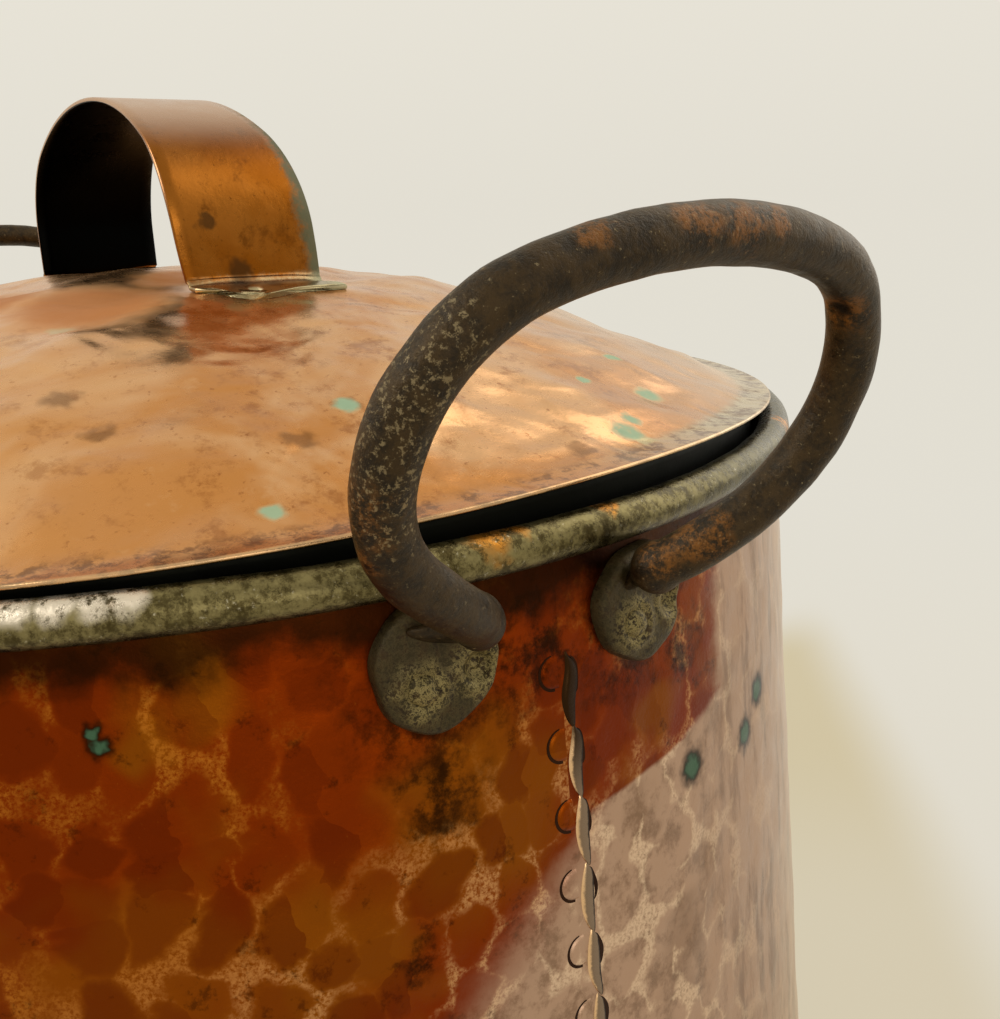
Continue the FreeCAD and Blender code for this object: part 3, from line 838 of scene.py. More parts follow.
@dataclass(frozen=True)
class Crust:
    """Pale yellow crust that has grown round the rivets on the pads."""

    olive: Colour = (0.026, 0.019, 0.006)
    tone: Colour = (0.34, 0.27, 0.105)
    width: float = 19 * MM

    def material(self, iron: ForgedIron, places: Sequence[tuple[float, float, float]]) -> bpy.types.Material:
        """The iron with crust near the given places.

        Args:
            iron: The iron under the crust.
            places: Where the crust grows, in metres.

        Returns:
            The finished material.
        """
        g = Graph(f"crusted_{iron.name}")
        spots = [Spot(*place, self.width) for place in places]
        near = spot_mask(g, g.wobble(g.place, 4 * MM, 8 * MM), spots)
        coarse = g.cloud(g.place, 2.6 * MM, 8.0, 0.8)
        veins = g.rise(g.math("ABSOLUTE", g.math("SUBTRACT", coarse, 0.5)), 0.045, 0.0)
        grains = g.rise(g.cloud(g.place, 1.0 * MM, 5.0, 0.75), 0.50, 0.62)
        colour = g.mix(g.rise(coarse, 0.40, 0.62), iron.colour(g), self.olive)
        grown = g.math("MAXIMUM", veins, g.times(grains, 0.6))
        share = g.times(grown, g.sloped(near, 0.75, 0.10))
        return iron.close(g, g.mix(share, colour, self.tone))


@dataclass(frozen=True)
class BeadPatina:
    """The rolled edge's olive patina with worn orange patches and whitish chips, painted highlights on its
    left and painted shade towards +y.
    """

    olive: Colour = (0.215, 0.175, 0.070)
    brown: Colour = (0.055, 0.040, 0.011)
    pale: Colour = (0.55, 0.50, 0.36)
    orange: Colour = (0.50, 0.200, 0.022)
    # Painted shade tone for the bead's +y side.
    far: Colour = (0.05, 0.045, 0.020)
    painted_highlight: Colour = (0.78, 0.68, 0.54)

    def material(self, sizes: PotSizes) -> bpy.types.Material:
        """Builds the finish.

        Args:
            sizes: The pot's driving sizes.

        Returns:
            The finished material.
        """
        g = Graph("bead_patina")
        broad = g.cloud(g.place, 30 * MM, 5.0, 0.65)
        fine = g.cloud(g.place, 4 * MM, 8.0, 0.78)
        colour = g.mix(g.rise(fine, 0.38, 0.62), self.brown, self.olive)
        _, y, _ = g.split(g.place)
        # Painted shade: the bead darker towards +y.
        colour = g.mix(g.times(g.rise(y, 0.02, 0.09), 0.5), colour, self.far)
        worn = [Spot(*around(sizes.rim_r, degrees, sizes.rim_z + 4 * MM), width * MM)
                for degrees, width in ((-3.6, 15), (-1.8, 9), (5.3, 9), (-30.5, 11), (-23.5, 9), (60, 30))]
        rubbed = spot_mask(g, g.wobble(g.place, 6 * MM, 8 * MM), worn)
        patches = g.math("MAXIMUM", g.rise(broad, 0.64, 0.70), rubbed)
        colour = g.mix(g.times(patches, g.rise(fine, 0.36, 0.52)), colour, self.orange)
        # Painted highlight: bright spots along the bead's top on the left.
        painted_highlight = [Spot(*around(sizes.rim_r + 2 * MM, degrees, sizes.rim_z + 4 * MM), 11 * MM)
                  for degrees in (-31.0, -29.0, -27.0, -25.2, -23.6)]
        shine = g.times(spot_mask(g, g.wobble(g.place, 5 * MM, 4 * MM), painted_highlight), g.rise(fine, 0.38, 0.50))
        colour = g.mix(g.times(shine, 0.9), colour, self.painted_highlight)
        chips = g.rise(g.cloud(g.place, 1.4 * MM, 4.0, 0.7), 0.62, 0.70)
        colour = g.mix(g.times(chips, 0.5), colour, self.pale)
        g.relief((g.cloud(g.place, 6 * MM, 5.0, 0.65), 0.40 * MM), (fine, 0.14 * MM))
        return g.finish(colour, g.sloped(fine, 0.4, 0.08), 0.9)


@dataclass(frozen=True)
class SeamMetal:
    """The cramps' hammered metal with a painted highlight on its worn left edge and painted shade on its
    right one.
    """

    name: str
    dark: Colour
    light: Colour
    painted_highlight: Colour
    worn: tuple[float, float] = (0.26, 0.10)
    shaded: tuple[float, float] = (0.80, 0.95)
    shadow: Colour = (0.016, 0.007, 0.003)

    def material(self, sizes: PotSizes) -> bpy.types.Material:
        """Builds the finish. The texture place's first part runs from the left edge to the right.

        Args:
            sizes: The pot's driving sizes.

        Returns:
            The finished material.
        """
        g = Graph(self.name)
        across, _, _ = g.split(g.uv)
        _, _, height = g.split(g.place)
        fine = g.cloud(g.place, 1.8 * MM, 5.0, 0.7)
        ragged = g.sloped(g.math("SUBTRACT", fine, 0.5), 0.30, across)
        body = g.mix(g.rise(height, sizes.rim_z - 45 * MM, sizes.rim_z - 72 * MM), self.dark, self.light)
        lower = g.rise(height, sizes.rim_z - 46 * MM, sizes.rim_z - 56 * MM)
        # Painted highlight along the worn left edge, lower down.
        share = g.times(g.rise(ragged, *self.worn), lower)
        colour = g.mix(share, body, self.painted_highlight)
        colour = g.mix(g.rise(ragged, *self.shaded), colour, self.shadow)
        g.relief((fine, 0.07 * MM))
        return g.finish(colour, g.sloped(fine, 0.3, 0.14), 1.0)


@dataclass
class PotWall:
    """The hammered wall, its rolled bead and the cramps of its seam."""

    sizes: PotSizes
    columns: int = 640
    rows: int = 112
    inner_rows: int = 20
    unevenness: float = 0.35 * MM
    inner_step: float = 1.4 * MM
    seam_degrees: float = 1.0
    seam_lean: float = math.radians(1.7)
    first_drop: float = 32.5 * MM
    pitch: float = 19.2 * MM
    leaf_length: float = 20.0 * MM
    leaf_lead: float = 4.2 * MM
    leaf_width: float = 4.2 * MM
    leaf_rise: float = 0.85 * MM
    tongue_reach: float = 7.4 * MM
    tongue_height: float = 8.8 * MM
    tongue_rise: float = 0.6 * MM
    sunk: float = 0.25 * MM

    def profile(self) -> tuple[np.ndarray, np.ndarray]:
        """The sheet's closed section, as radius and height, and how much each point may be uneven.

        Returns:
            The section's points, and each one's share of the unevenness.
        """
        s = self.sizes
        heights = np.linspace(s.foot_z, s.top_z, self.rows)
        outer = np.stack([s.wall_r(heights), heights], -1)
        lift = np.linspace(0, 1, 8)[1:]
        neck_z = s.top_z + (s.rim_z - s.top_z) * lift
        neck_r = s.top_r + (s.rim_r - s.bead_r * 0.1 - s.top_r) * lift**1.7
        neck = np.stack([neck_r, neck_z], -1)
        inner_heights = np.linspace(s.rim_z, s.foot_z, self.inner_rows)
        inner_r = np.minimum(s.wall_r(inner_heights), s.top_r) - s.wall_sheet
        under_neck = s.wall_r(inner_heights) - s.wall_sheet
        inner_r = np.where(inner_heights < s.top_z, under_neck, inner_r - self.inner_step)
        inner = np.stack([inner_r, inner_heights], -1)
        under_bead = smooth_step(s.top_z - heights, 0, 12 * MM)
        over_lap = smooth_step(heights, s.lap_z, s.lap_z + 9 * MM)
        free = np.concatenate([under_bead * over_lap, np.zeros(len(neck) + len(inner))])
        return np.concatenate([outer, neck, inner]), free

    def sheet(self) -> bpy.types.Object:
        """The wall from the base's lap up to the bead.

        Returns:
            The wall.
        """
        profile, free = self.profile()
        start = math.radians(self.seam_degrees)
        points = lathe(profile, self.columns)
        angles = np.linspace(0, 2 * math.pi, self.columns, endpoint=False)
        arc, height = angles * self.sizes.top_r, profile[:, 1:]
        swell = ripple(arc + 0 * height, height + 0 * arc, 55 * MM, 3) * 0.6
        swell += ripple(arc + 0 * height, height + 0 * arc, 16 * MM, 8) * 0.4
        fade = np.minimum(smooth_step(arc, 0, 20 * MM), smooth_step(arc[-1] - arc, 0, 20 * MM))
        push = 1 + swell * free[:, None] * fade * self.unevenness / self.sizes.top_r
        points[..., :2] *= push[..., None]
        cos, sin = math.cos(start), math.sin(start)
        x, y = points[..., 0] * cos - points[..., 1] * sin, points[..., 0] * sin + points[..., 1] * cos
        points[..., 0], points[..., 1] = x, y
        closed = np.concatenate([profile, profile[:1]])
        along = np.arange(self.columns + 1) * 2 * math.pi / self.columns * self.sizes.top_r
        uv = np.stack(np.broadcast_arrays(along[None, :], closed[:, 1:]), -1)
        return grid_object("hammered_wall", points, Wrap.BOTH, uv)

    def bead(self) -> bpy.types.Object:
        """The rolled edge, a little uneven along its length.

        Returns:
            The bead.
        """
        s = self.sizes
        around_roll = np.linspace(0, 2 * math.pi, 20, endpoint=False)
        radius, height = s.rim_r + s.bead_r * np.cos(around_roll), s.rim_z + s.bead_r * np.sin(around_roll)
        profile = np.stack([radius, height], -1)
        points = lathe(profile, 480)
        angles = np.linspace(0, 2 * math.pi, 480, endpoint=False)
        swell = ripple(angles * s.rim_r, 0 * angles, 30 * MM, 5)[None, :]
        points[..., 2] = s.rim_z + (points[..., 2] - s.rim_z) * (0.985 - 0.015 * swell)
        points[..., :2] *= (1 + 0.0006 * swell)[..., None]
        return grid_object("rolled_bead", points, Wrap.BOTH)

    def on_wall(self, arc: np.ndarray, drop: np.ndarray, rise: np.ndarray) -> np.ndarray:
        """Points on the wall beside the seam.

        Args:
            arc: Arc from the seam, in metres.
            drop: Depth under the bead's centre.
            rise: Height off the wall's outside.

        Returns:
            The points.
        """
        height = self.sizes.rim_z - drop
        radius = self.sizes.wall_r(height)
        angle = math.radians(self.seam_degrees) + (drop * math.tan(self.seam_lean) + arc) / radius
        return np.stack([(radius + rise) * np.cos(angle), (radius + rise) * np.sin(angle), height], -1)

    def heights(self) -> np.ndarray:
        """Depth of each cramp under the bead, down to the base's lap."""
        lowest = self.sizes.rim_z - self.sizes.lap_z - self.leaf_length + self.leaf_lead
        return np.arange(self.first_drop, lowest, self.pitch)

    def leaf(self, drop: float, seed: int) -> bpy.types.Object:
        """One blade, a low ridge along its left side and pointed at both ends.

        Args:
            drop: Depth of the cramp under the bead, in metres.
            seed: Number that varies the form from one cramp to the next.

        Returns:
            The blade.
        """
        t, s = np.meshgrid(np.linspace(0, 1, 25), np.linspace(-1, 1, 13), indexing="ij")
        bend = 0.7 * MM * np.sin(2 * math.pi * t + 0.4 * seed) + (seed % 3 - 1) * 0.4 * MM * t
        half = self.leaf_width / 2 * np.sin(math.pi * t) ** 0.38
        arc = 1.2 * MM + bend + s * half + 0.2 * MM * np.sin(9 * t + seed)
        fall = np.maximum(s + 0.45, 0.0) / 1.45
        ridge = np.where(s < -0.45, (1 + s) / 0.55, 1 - 0.55 * fall**1.5) ** 0.7
        rise = -self.sunk + (self.leaf_rise + self.sunk) * ridge * np.sin(math.pi * t) ** 0.35
        points = self.on_wall(arc, drop - self.leaf_lead + self.leaf_length * t + s * 0.9 * MM, rise)
        return grid_object("leaf", points, uv=np.stack([(s + 1) / 2, t], -1))

    def recess_shade(self, drop: float, seed: int) -> bpy.types.Object:
        """A thin dark sheet of painted shade in the recess on the right of a blade's upper end.

        Args:
            drop: Depth of the cramp under the bead, in metres.
            seed: Number that varies the form from one cramp to the next.

        Returns:
            The painted shade.
        """
        t, s = np.meshgrid(np.linspace(0, 1, 15), np.linspace(0, 1, 5), indexing="ij")
        half = self.leaf_width / 2 * np.sin(math.pi * (0.05 + 0.6 * t)) ** 0.4
        wave = 0.2 * MM * np.sin(7 * t + seed)
        arc = 1.5 * MM + half * 0.8 + s * 1.3 * MM * np.sin(math.pi * t) ** 0.5 + wave
        depth = drop - self.leaf_lead + self.leaf_length * (0.06 + t * 0.5)
        points = self.on_wall(arc, depth, 0.05 * MM + 0 * t)
        return grid_object("recess_shade", points)

    def tongue_places(
        self, drop: float, seed: int, reach: np.ndarray, turn: np.ndarray
    ) -> tuple[np.ndarray, np.ndarray]:
        """Arc and depth over a tongue, by share of its radius and by the turn round its end.

        Args:
            drop: Depth of the cramp under the bead, in metres.
            seed: Number that varies the form from one cramp to the next.
            reach: Share of the tongue's radius.
            turn: Turn round its end, in radians.

        Returns:
            Arc from the seam and depth under the bead.
        """
        radius = self.tongue_height / 2
        arc = -(self.tongue_reach * (1 - 0.05 * (seed % 3)) - radius) - reach * np.cos(turn) * radius
        arc = np.where(np.abs(turn) > 1.5, arc + 3 * MM * (np.abs(turn) - 1.5), arc)
        return arc, drop + reach * np.sin(turn) * radius

    def tongue(self, drop: float, seed: int) -> bpy.types.Object:
        """One half-round end that lies over the other edge of the sheet.

        Args:
            drop: Depth of the cramp under the bead, in metres.
            seed: Number that varies the form from one cramp to the next.

        Returns:
            The tongue.
        """
        turn, reach = np.meshgrid(np.linspace(-1.65, 1.65, 25), np.linspace(0, 1, 11), indexing="ij")
        arc, depth = self.tongue_places(drop, seed, reach, turn)
        rise = self.tongue_rise * (1 - reach**8) - self.sunk * reach**8
        along = self.sizes.top_r * 2 * math.pi + arc
        uv = np.stack([along, self.sizes.rim_z - depth], -1)
        return grid_object("tongue", self.on_wall(arc, depth, rise), uv=uv)

    def edge_shadow(self, drop: float, seed: int) -> bpy.types.Object:
        """A thin dark sheet of painted shadow round a tongue's end, thickest on its lower left.

        Args:
            drop: Depth of the cramp under the bead, in metres.
            seed: Number that varies the form from one cramp to the next.

        Returns:
            The line.
        """
        turn, share = np.meshgrid(np.linspace(-1.45, 1.5, 25), np.linspace(0, 1, 4), indexing="ij")
        width = 0.10 + 0.09 * np.cos(turn - 0.5)
        arc, depth = self.tongue_places(drop, seed, 0.95 + width * share, turn)
        return grid_object("edge_shadow", self.on_wall(arc, depth, 0.06 * MM + 0 * turn))

    def build(self) -> None:
        """Builds and dresses the wall, the bead and the seam."""
        hammered = HammeredCopper().material(self.sizes)
        dress(self.sheet(), hammered, ["pot_wall"])
        dress(self.bead(), BeadPatina().material(self.sizes))
        drops = list(enumerate(self.heights()))
        blades = joined("seam_blades", [self.leaf(drop, k) for k, drop in drops])
        # The recesses' shade and the shadow round the tongues' ends are painted on thin dark sheets that lie
        # on the wall.
        shade_forms = [make(drop, k) for make in (self.recess_shade, self.edge_shadow) for k, drop in drops]
        recess_shades = joined("seam_recess_shades", shade_forms)
        tongues = joined("seam_tongues", [self.tongue(drop, k) for k, drop in drops])
        blade = SeamMetal("blade_metal", (0.030, 0.014, 0.005), (0.24, 0.165, 0.105), (0.78, 0.50, 0.26))
        dress(blades, blade.material(self.sizes))
        dress(tongues, hammered)
        soot_and_shade = TarnishedCopper(
            "seam_recess_shade", base=(0.024, 0.009, 0.004), warm=(0.040, 0.016, 0.007), dark=(0.006, 0.003, 0.002)
        )
        dress(recess_shades, soot_and_shade.material())


@dataclass(frozen=True)
class Station:
    """A place along the iron bar: centre, heading and half its thickness and width."""

    centre: Vector
    heading: Vector
    half_thickness: float
    half_width: float


@dataclass
class LoopHandle:
    """A forged loop with two knees and two riveted pads, at one side of the pot."""

    sizes: PotSizes
    side: str
    turn: float = 0.0
    rod_r: float = 6.1 * MM
    half_width: float = 60.8 * MM
    side_r: float = 36.4 * MM
    top_r: float = 118.0 * MM
    out: float = 37.3 * MM
    up: float = 33.3 * MM
    lean: float = math.radians(21.7)
    leave: float = math.radians(50.0)
    knee_half_gap: float = 26.1 * MM
    knee_out: float = 11.6 * MM
    knee_drop: float = 9.5 * MM
    knee_r: float = 6.7 * MM
    pad_r: float = 16.0 * MM
    pad_thickness: float = 4.4 * MM
    pad_half_gap: float = 30.7 * MM
    pad_drop: float = 21.8 * MM
    neck_half_width: float = 9.0 * MM
    neck_half_thickness: float = 1.9 * MM
    neck_pinch: float = 0.22
    neck_rise: float = 7.0 * MM
    pit: Vector = Vector((271.6, 46.8, 397.2)) * MM
    pit_depth: float = 1.5 * MM
    pit_width: float = 3.4 * MM
    step: float = 2.2 * MM
    segments: int = 32

    @property
    def facing(self) -> Vector:
        """Square to the plane in which the loop leans."""
        return Vector((math.cos(self.lean), 0, -math.sin(self.lean)))

    def pad_angle(self, shift: float = 0.0) -> float:
        """Angle of a place on the pad from the handle's middle."""
        return (self.pad_half_gap + shift) / self.sizes.wall_r(self.sizes.rim_z - self.pad_drop)

    def arc(self, start: Station, end: Vector) -> list[Station]:
        """Stations along the arc that leaves one by its heading and reaches a point.

        Args:
            start: The station that it leaves.
            end: The point that it reaches.

        Returns:
            The stations after the first.
        """
        chord = end - start.centre
        inward = (chord - start.heading * chord.dot(start.heading)).normalized()
        turn = 2 * math.atan2(chord.dot(inward), chord.dot(start.heading))
        radius = chord.length / (2 * math.sin(turn / 2))
        count = max(3, round(radius * turn / self.step))
        stations = []
        for angle in [turn * (i + 1) / count for i in range(count)]:
            away = start.heading * math.sin(angle) + inward * (1 - math.cos(angle))
            heading = start.heading * math.cos(angle) + inward * math.sin(angle)
            stations.append(Station(start.centre + away * radius, heading, self.rod_r, self.rod_r))
        return stations

    def half_bar(self) -> list[Station]:
        """The bar from the crown's middle round one side, over the knee and down into the pad.

        Returns:
            The stations, from the crown's middle on.
        """
        across = Vector((0, 1, 0))
        upward = self.facing.cross(across)
        middle = Vector((self.sizes.rim_r + self.out, 0, self.sizes.rim_z + self.up))
        side = self.half_width - self.side_r
        top_drop = math.sqrt((self.top_r - self.side_r) ** 2 - side**2)

        def on_side(angle: float) -> Vector:
            """A point on the side's arc."""
            outward = across * (side + self.side_r * math.cos(angle))
            return middle + outward + upward * (self.side_r * math.sin(angle))

        s = self.sizes
        knee = Vector((s.rim_r + self.knee_out, self.knee_half_gap, s.rim_z - self.knee_drop))
        stations = [Station(middle + upward * (self.top_r - top_drop), across, self.rod_r, self.rod_r)]
        for point in (on_side(math.atan2(top_drop, side)), on_side(-self.leave), knee):
            stations += self.arc(stations[-1], point)
        height = self.sizes.rim_z - self.pad_drop + self.neck_rise
        radius = self.sizes.wall_r(height) + self.pad_thickness / 2
        foot = Vector((*around(radius, math.degrees(self.pad_angle()), height),))
        return stations[:-2] + self.over_knee(stations[-3], knee, foot)

    def over_knee(self, before: Station, knee: Vector, foot: Vector) -> list[Station]:
        """The rounded knee and the neck that spreads down into the pad.

        Args:
            before: The last station above the knee.
            knee: The knee's corner.
            foot: Where the neck meets the pad.

        Returns:
            The stations.
        """
        down = (foot - knee).normalized()
        count = 14
        start = before.centre
        pull = knee + (knee - (start + foot) / 2) * 0.55
        stations = []
        for k in range(1, count + 1):
            t = k / count
            place = start * (1 - t) ** 2 + pull * (2 * t * (1 - t)) + foot * t**2
            slope = (knee - start) * (1 - t) + (foot - knee) * t
            grown = self.rod_r + (self.knee_r - self.rod_r) * math.sin(math.pi * min(1.0, t * 1.3))
            flat = float(smooth_step(np.array(t), 0.40, 1.0))
            spread = float(smooth_step(np.array(t), 0.72, 1.0))
            grown *= 1 - self.neck_pinch * float(smooth_step(np.array(t), 0.42, 0.72))
            thick = grown * (1 - flat) + self.neck_half_thickness * flat
            wide = grown * (1 - spread) + self.neck_half_width * spread
            stations.append(Station(place, slope.normalized(), thick, wide))
        end = foot + down * 3 * MM
        stations.append(Station(end, down, self.neck_half_thickness * 0.6, self.neck_half_width * 0.8))
        return stations

    def bar(self) -> bpy.types.Object:
        """The whole bar, pad to pad, with the small unevenness of forging.

        Returns:
            The bar.
        """
        half = self.half_bar()
        mirrored = [
            Station(
                Vector((s.centre.x, -s.centre.y, s.centre.z)),
                Vector((-s.heading.x, s.heading.y, -s.heading.z)),
                s.half_thickness,
                s.half_width,
            )
            for s in reversed(half[1:])
        ]
        angles = np.linspace(0, 2 * math.pi, self.segments, endpoint=False)
        rows = []
        for station in mirrored + half:
            thin = (self.facing - station.heading * self.facing.dot(station.heading)).normalized()
            broad = station.heading.cross(thin)
            row = []
            for a in angles:
                thickness, width = station.half_thickness * math.cos(a), station.half_width * math.sin(a)
                offset = thin * thickness + broad * width
                point = station.centre + offset
                lumps = noise.noise(point / (17 * MM)) * 0.45 * MM + noise.noise(point / (6 * MM)) * 0.18 * MM
                dip = self.pit_depth * math.exp(-(((point - self.pit).length / self.pit_width) ** 2))
                row.append(point + offset.normalized() * (lumps - dip - 0.15 * MM))
            rows.append(row)
        tip = [[sum(rows[0], Vector()) / len(rows[0])] * self.segments]
        tail = [[sum(rows[-1], Vector()) / len(rows[-1])] * self.segments]
        points = np.array([[tuple(p) for p in row] for row in tip + rows + tail])
        return grid_object("bar", points, Wrap.COLUMNS)

    def rivet_place(self, sunk: bool) -> tuple[float, float]:
        """Arc from the pad's middle and depth under it, of a rivet or of a pit."""
        return (0.6 * self.pad_r, 0.1 * self.pad_r) if sunk else (-0.27 * self.pad_r, 0.24 * self.pad_r)

    def on_pad(self, sign: int, along: np.ndarray, drop: np.ndarray, rise: np.ndarray) -> np.ndarray:
        """Points over a pad by arc, depth under the pad's middle and height off the wall.

        Args:
            sign: Which of the two pads: -1 or 1.
            along: Arc from the pad's middle, in metres.
            drop: Depth under the pad's middle.
            rise: Height off the wall.

        Returns:
            The points.
        """
        height = self.sizes.rim_z - self.pad_drop - drop
        radius = self.sizes.wall_r(height)
        angle = sign * self.pad_angle() + along / radius
        return np.stack([(radius + rise) * np.cos(angle), (radius + rise) * np.sin(angle), height], -1)

    def pad(self, sign: int) -> bpy.types.Object:
        """A lumpy round pad with its pit and the ring of crust round its rivet.

        Args:
            sign: Which of the two pads: -1 or 1.

        Returns:
            The pad.
        """
        a, s = rings(72, 34)
        edge = self.pad_r * (1 - 0.03 * (1 + np.sin(3 * a + sign)) - 0.015 * np.sin(7 * a))
        along, drop = s * edge * np.cos(a), s * edge * np.sin(a)
        top = self.pad_thickness * (0.90 + 0.10 * (1 - s**2))
        top = top + ripple(along + sign, drop, 9 * MM, 21) * 0.20 * MM
        for sunk in (False, True):
            u, v = self.rivet_place(sunk)
            away = np.hypot(along - u, drop - v)
            if sunk:
                top = top - 2.3 * MM * (1 - smooth_step(away, 1.8 * MM, 4.6 * MM))
                top = top + 0.45 * MM * np.exp(-(((away - 5.4 * MM) / (1.3 * MM)) ** 2))
            else:
                top = top + 0.55 * MM * np.exp(-(((away - 5.6 * MM) / (1.4 * MM)) ** 2))
        shoulder = np.sqrt(np.clip(1 - np.clip((s - 0.86) / 0.14, 0, 1) ** 2, 0, 1))
        rise = 0.15 * MM + (top - 0.15 * MM) * shoulder
        return grid_object("pad", self.on_pad(sign, along, drop, rise), Wrap.COLUMNS)

    def rivet(self, sign: int, sunk: bool) -> bpy.types.Object:
        """A worn head standing on the pad, or the stub of one down in its pit.

        Args:
            sign: Which of the two pads: -1 or 1.
            sunk: Whether it is the one down in its pit.

        Returns:
            The head.
        """
        if sunk:
            return self.dome(sign, self.rivet_place(sunk), 2.5 * MM, 0.8 * MM, 1.4 * MM)
        return self.dome(sign, self.rivet_place(sunk), 4.1 * MM, self.pad_thickness - 0.6 * MM, 2.3 * MM)

    def tail(self, sign: int, sunk: bool) -> bpy.types.Object:
        """The rivet's head inside the pot."""
        return self.dome(sign, self.rivet_place(sunk), 4.5 * MM, -self.sizes.wall_sheet + 0.2 * MM, -2.0 * MM)

    def dome(
        self, sign: int, place: tuple[float, float], radius: float, foot: float, height: float
    ) -> bpy.types.Object:
        """A low uneven dome at a place on the pad.

        Args:
            sign: Which of the two pads: -1 or 1.
            place: Arc from the pad's middle and depth under it.
            radius: The dome's radius.
            foot: Height of its edge off the wall.
            height: Its own height.

        Returns:
            The dome.
        """
        u, v = place
        a, s = rings(28, 12)
        reach = radius * s * (1 + 0.05 * np.sin(2 * a + sign) + 0.03 * np.sin(5 * a))
        rise = foot + height * (1 - s**2.6) * (1 + 0.08 * np.sin(3 * a) * s)
        along, drop = u + reach * np.cos(a), v + reach * np.sin(a)
        return grid_object("dome", self.on_pad(sign, along, drop, rise), Wrap.COLUMNS)

    def crust_places(self) -> list[tuple[float, float, float]]:
        """Where crust grows: round every rivet and pit.

        Returns:
            The places, in metres.
        """
        places = []
        for sign in (-1, 1):
            for sunk in (False, True):
                u, v = self.rivet_place(sunk)
                spot = self.on_pad(sign, np.array(u), np.array(v), np.array(self.pad_thickness))
                places.append(tuple(Matrix.Rotation(self.turn, 3, "Z") @ Vector(spot)))
        return places

    def build(self) -> None:
        """Builds and dresses the handle and its rivets, and turns them to their side."""
        iron = joined(f"{self.side}_loop", [self.bar()])
        pads = joined(f"{self.side}_pads", [self.pad(-1), self.pad(1)])
        kinds = [(sign, sunk) for sign in (-1, 1) for sunk in (False, True)]
        rivets = [make(sign, sunk) for make in (self.rivet, self.tail) for sign, sunk in kinds]
        heads = joined(f"{self.side}_rivet_heads", rivets)
        for piece in (iron, pads, heads):
            piece.data.transform(Matrix.Rotation(self.turn, 4, "Z"))
        finish = self.finish()
        crusted = Crust().material(finish, self.crust_places())
        dress(iron, finish.material(), [f"{self.side}_handle"])
        dress(pads, crusted)
        dress(heads, crusted, [f"{self.side}_handle_rivets"])

    def finish(self) -> ForgedIron:
        """The iron with its rust patches, its pale specks that are partly painted highlight, and its pit with
        painted shade, turned to the handle's side.

        Returns:
            The finish.
        """
        rust = spots_at(
            (241.4, 23.9, 340.8, 15), (247.8, 30.6, 345.7, 19), (282.0, -6.0, 419.0, 14),
            (283.1, 5.1, 416.8, 15), (281.8, 13.7, 418.3, 11), (277.6, -27.3, 418.2, 13),
            (260.8, -66.1, 372.5, 16), (256.6, -63.2, 362.4, 9), (271.6, 46.8, 397.2, 17),
        )
        sheen_specks = spots_at(
            (269.1, -64.2, 383.9, 34), (271.4, -62.1, 392.9, 34),
            (266, -62, 372, 26), (274.0, -57.2, 401.3, 24),
        )
        pits = spots_at((271.6, 46.8, 397.2, 7.5))
        turn = Matrix.Rotation(self.turn, 3, "Z")

        def placed(spots: Sequence[Spot]) -> tuple[Spot, ...]:
            """The same spots on this handle's side."""
            return tuple(Spot(*(turn @ Vector((spot.x, spot.y, spot.z))), spot.width) for spot in spots)

        return ForgedIron(f"{self.side}_forged_iron", rust_spots=placed(rust), sheen_speck_spots=placed(sheen_specks),
                          pits=placed(pits))


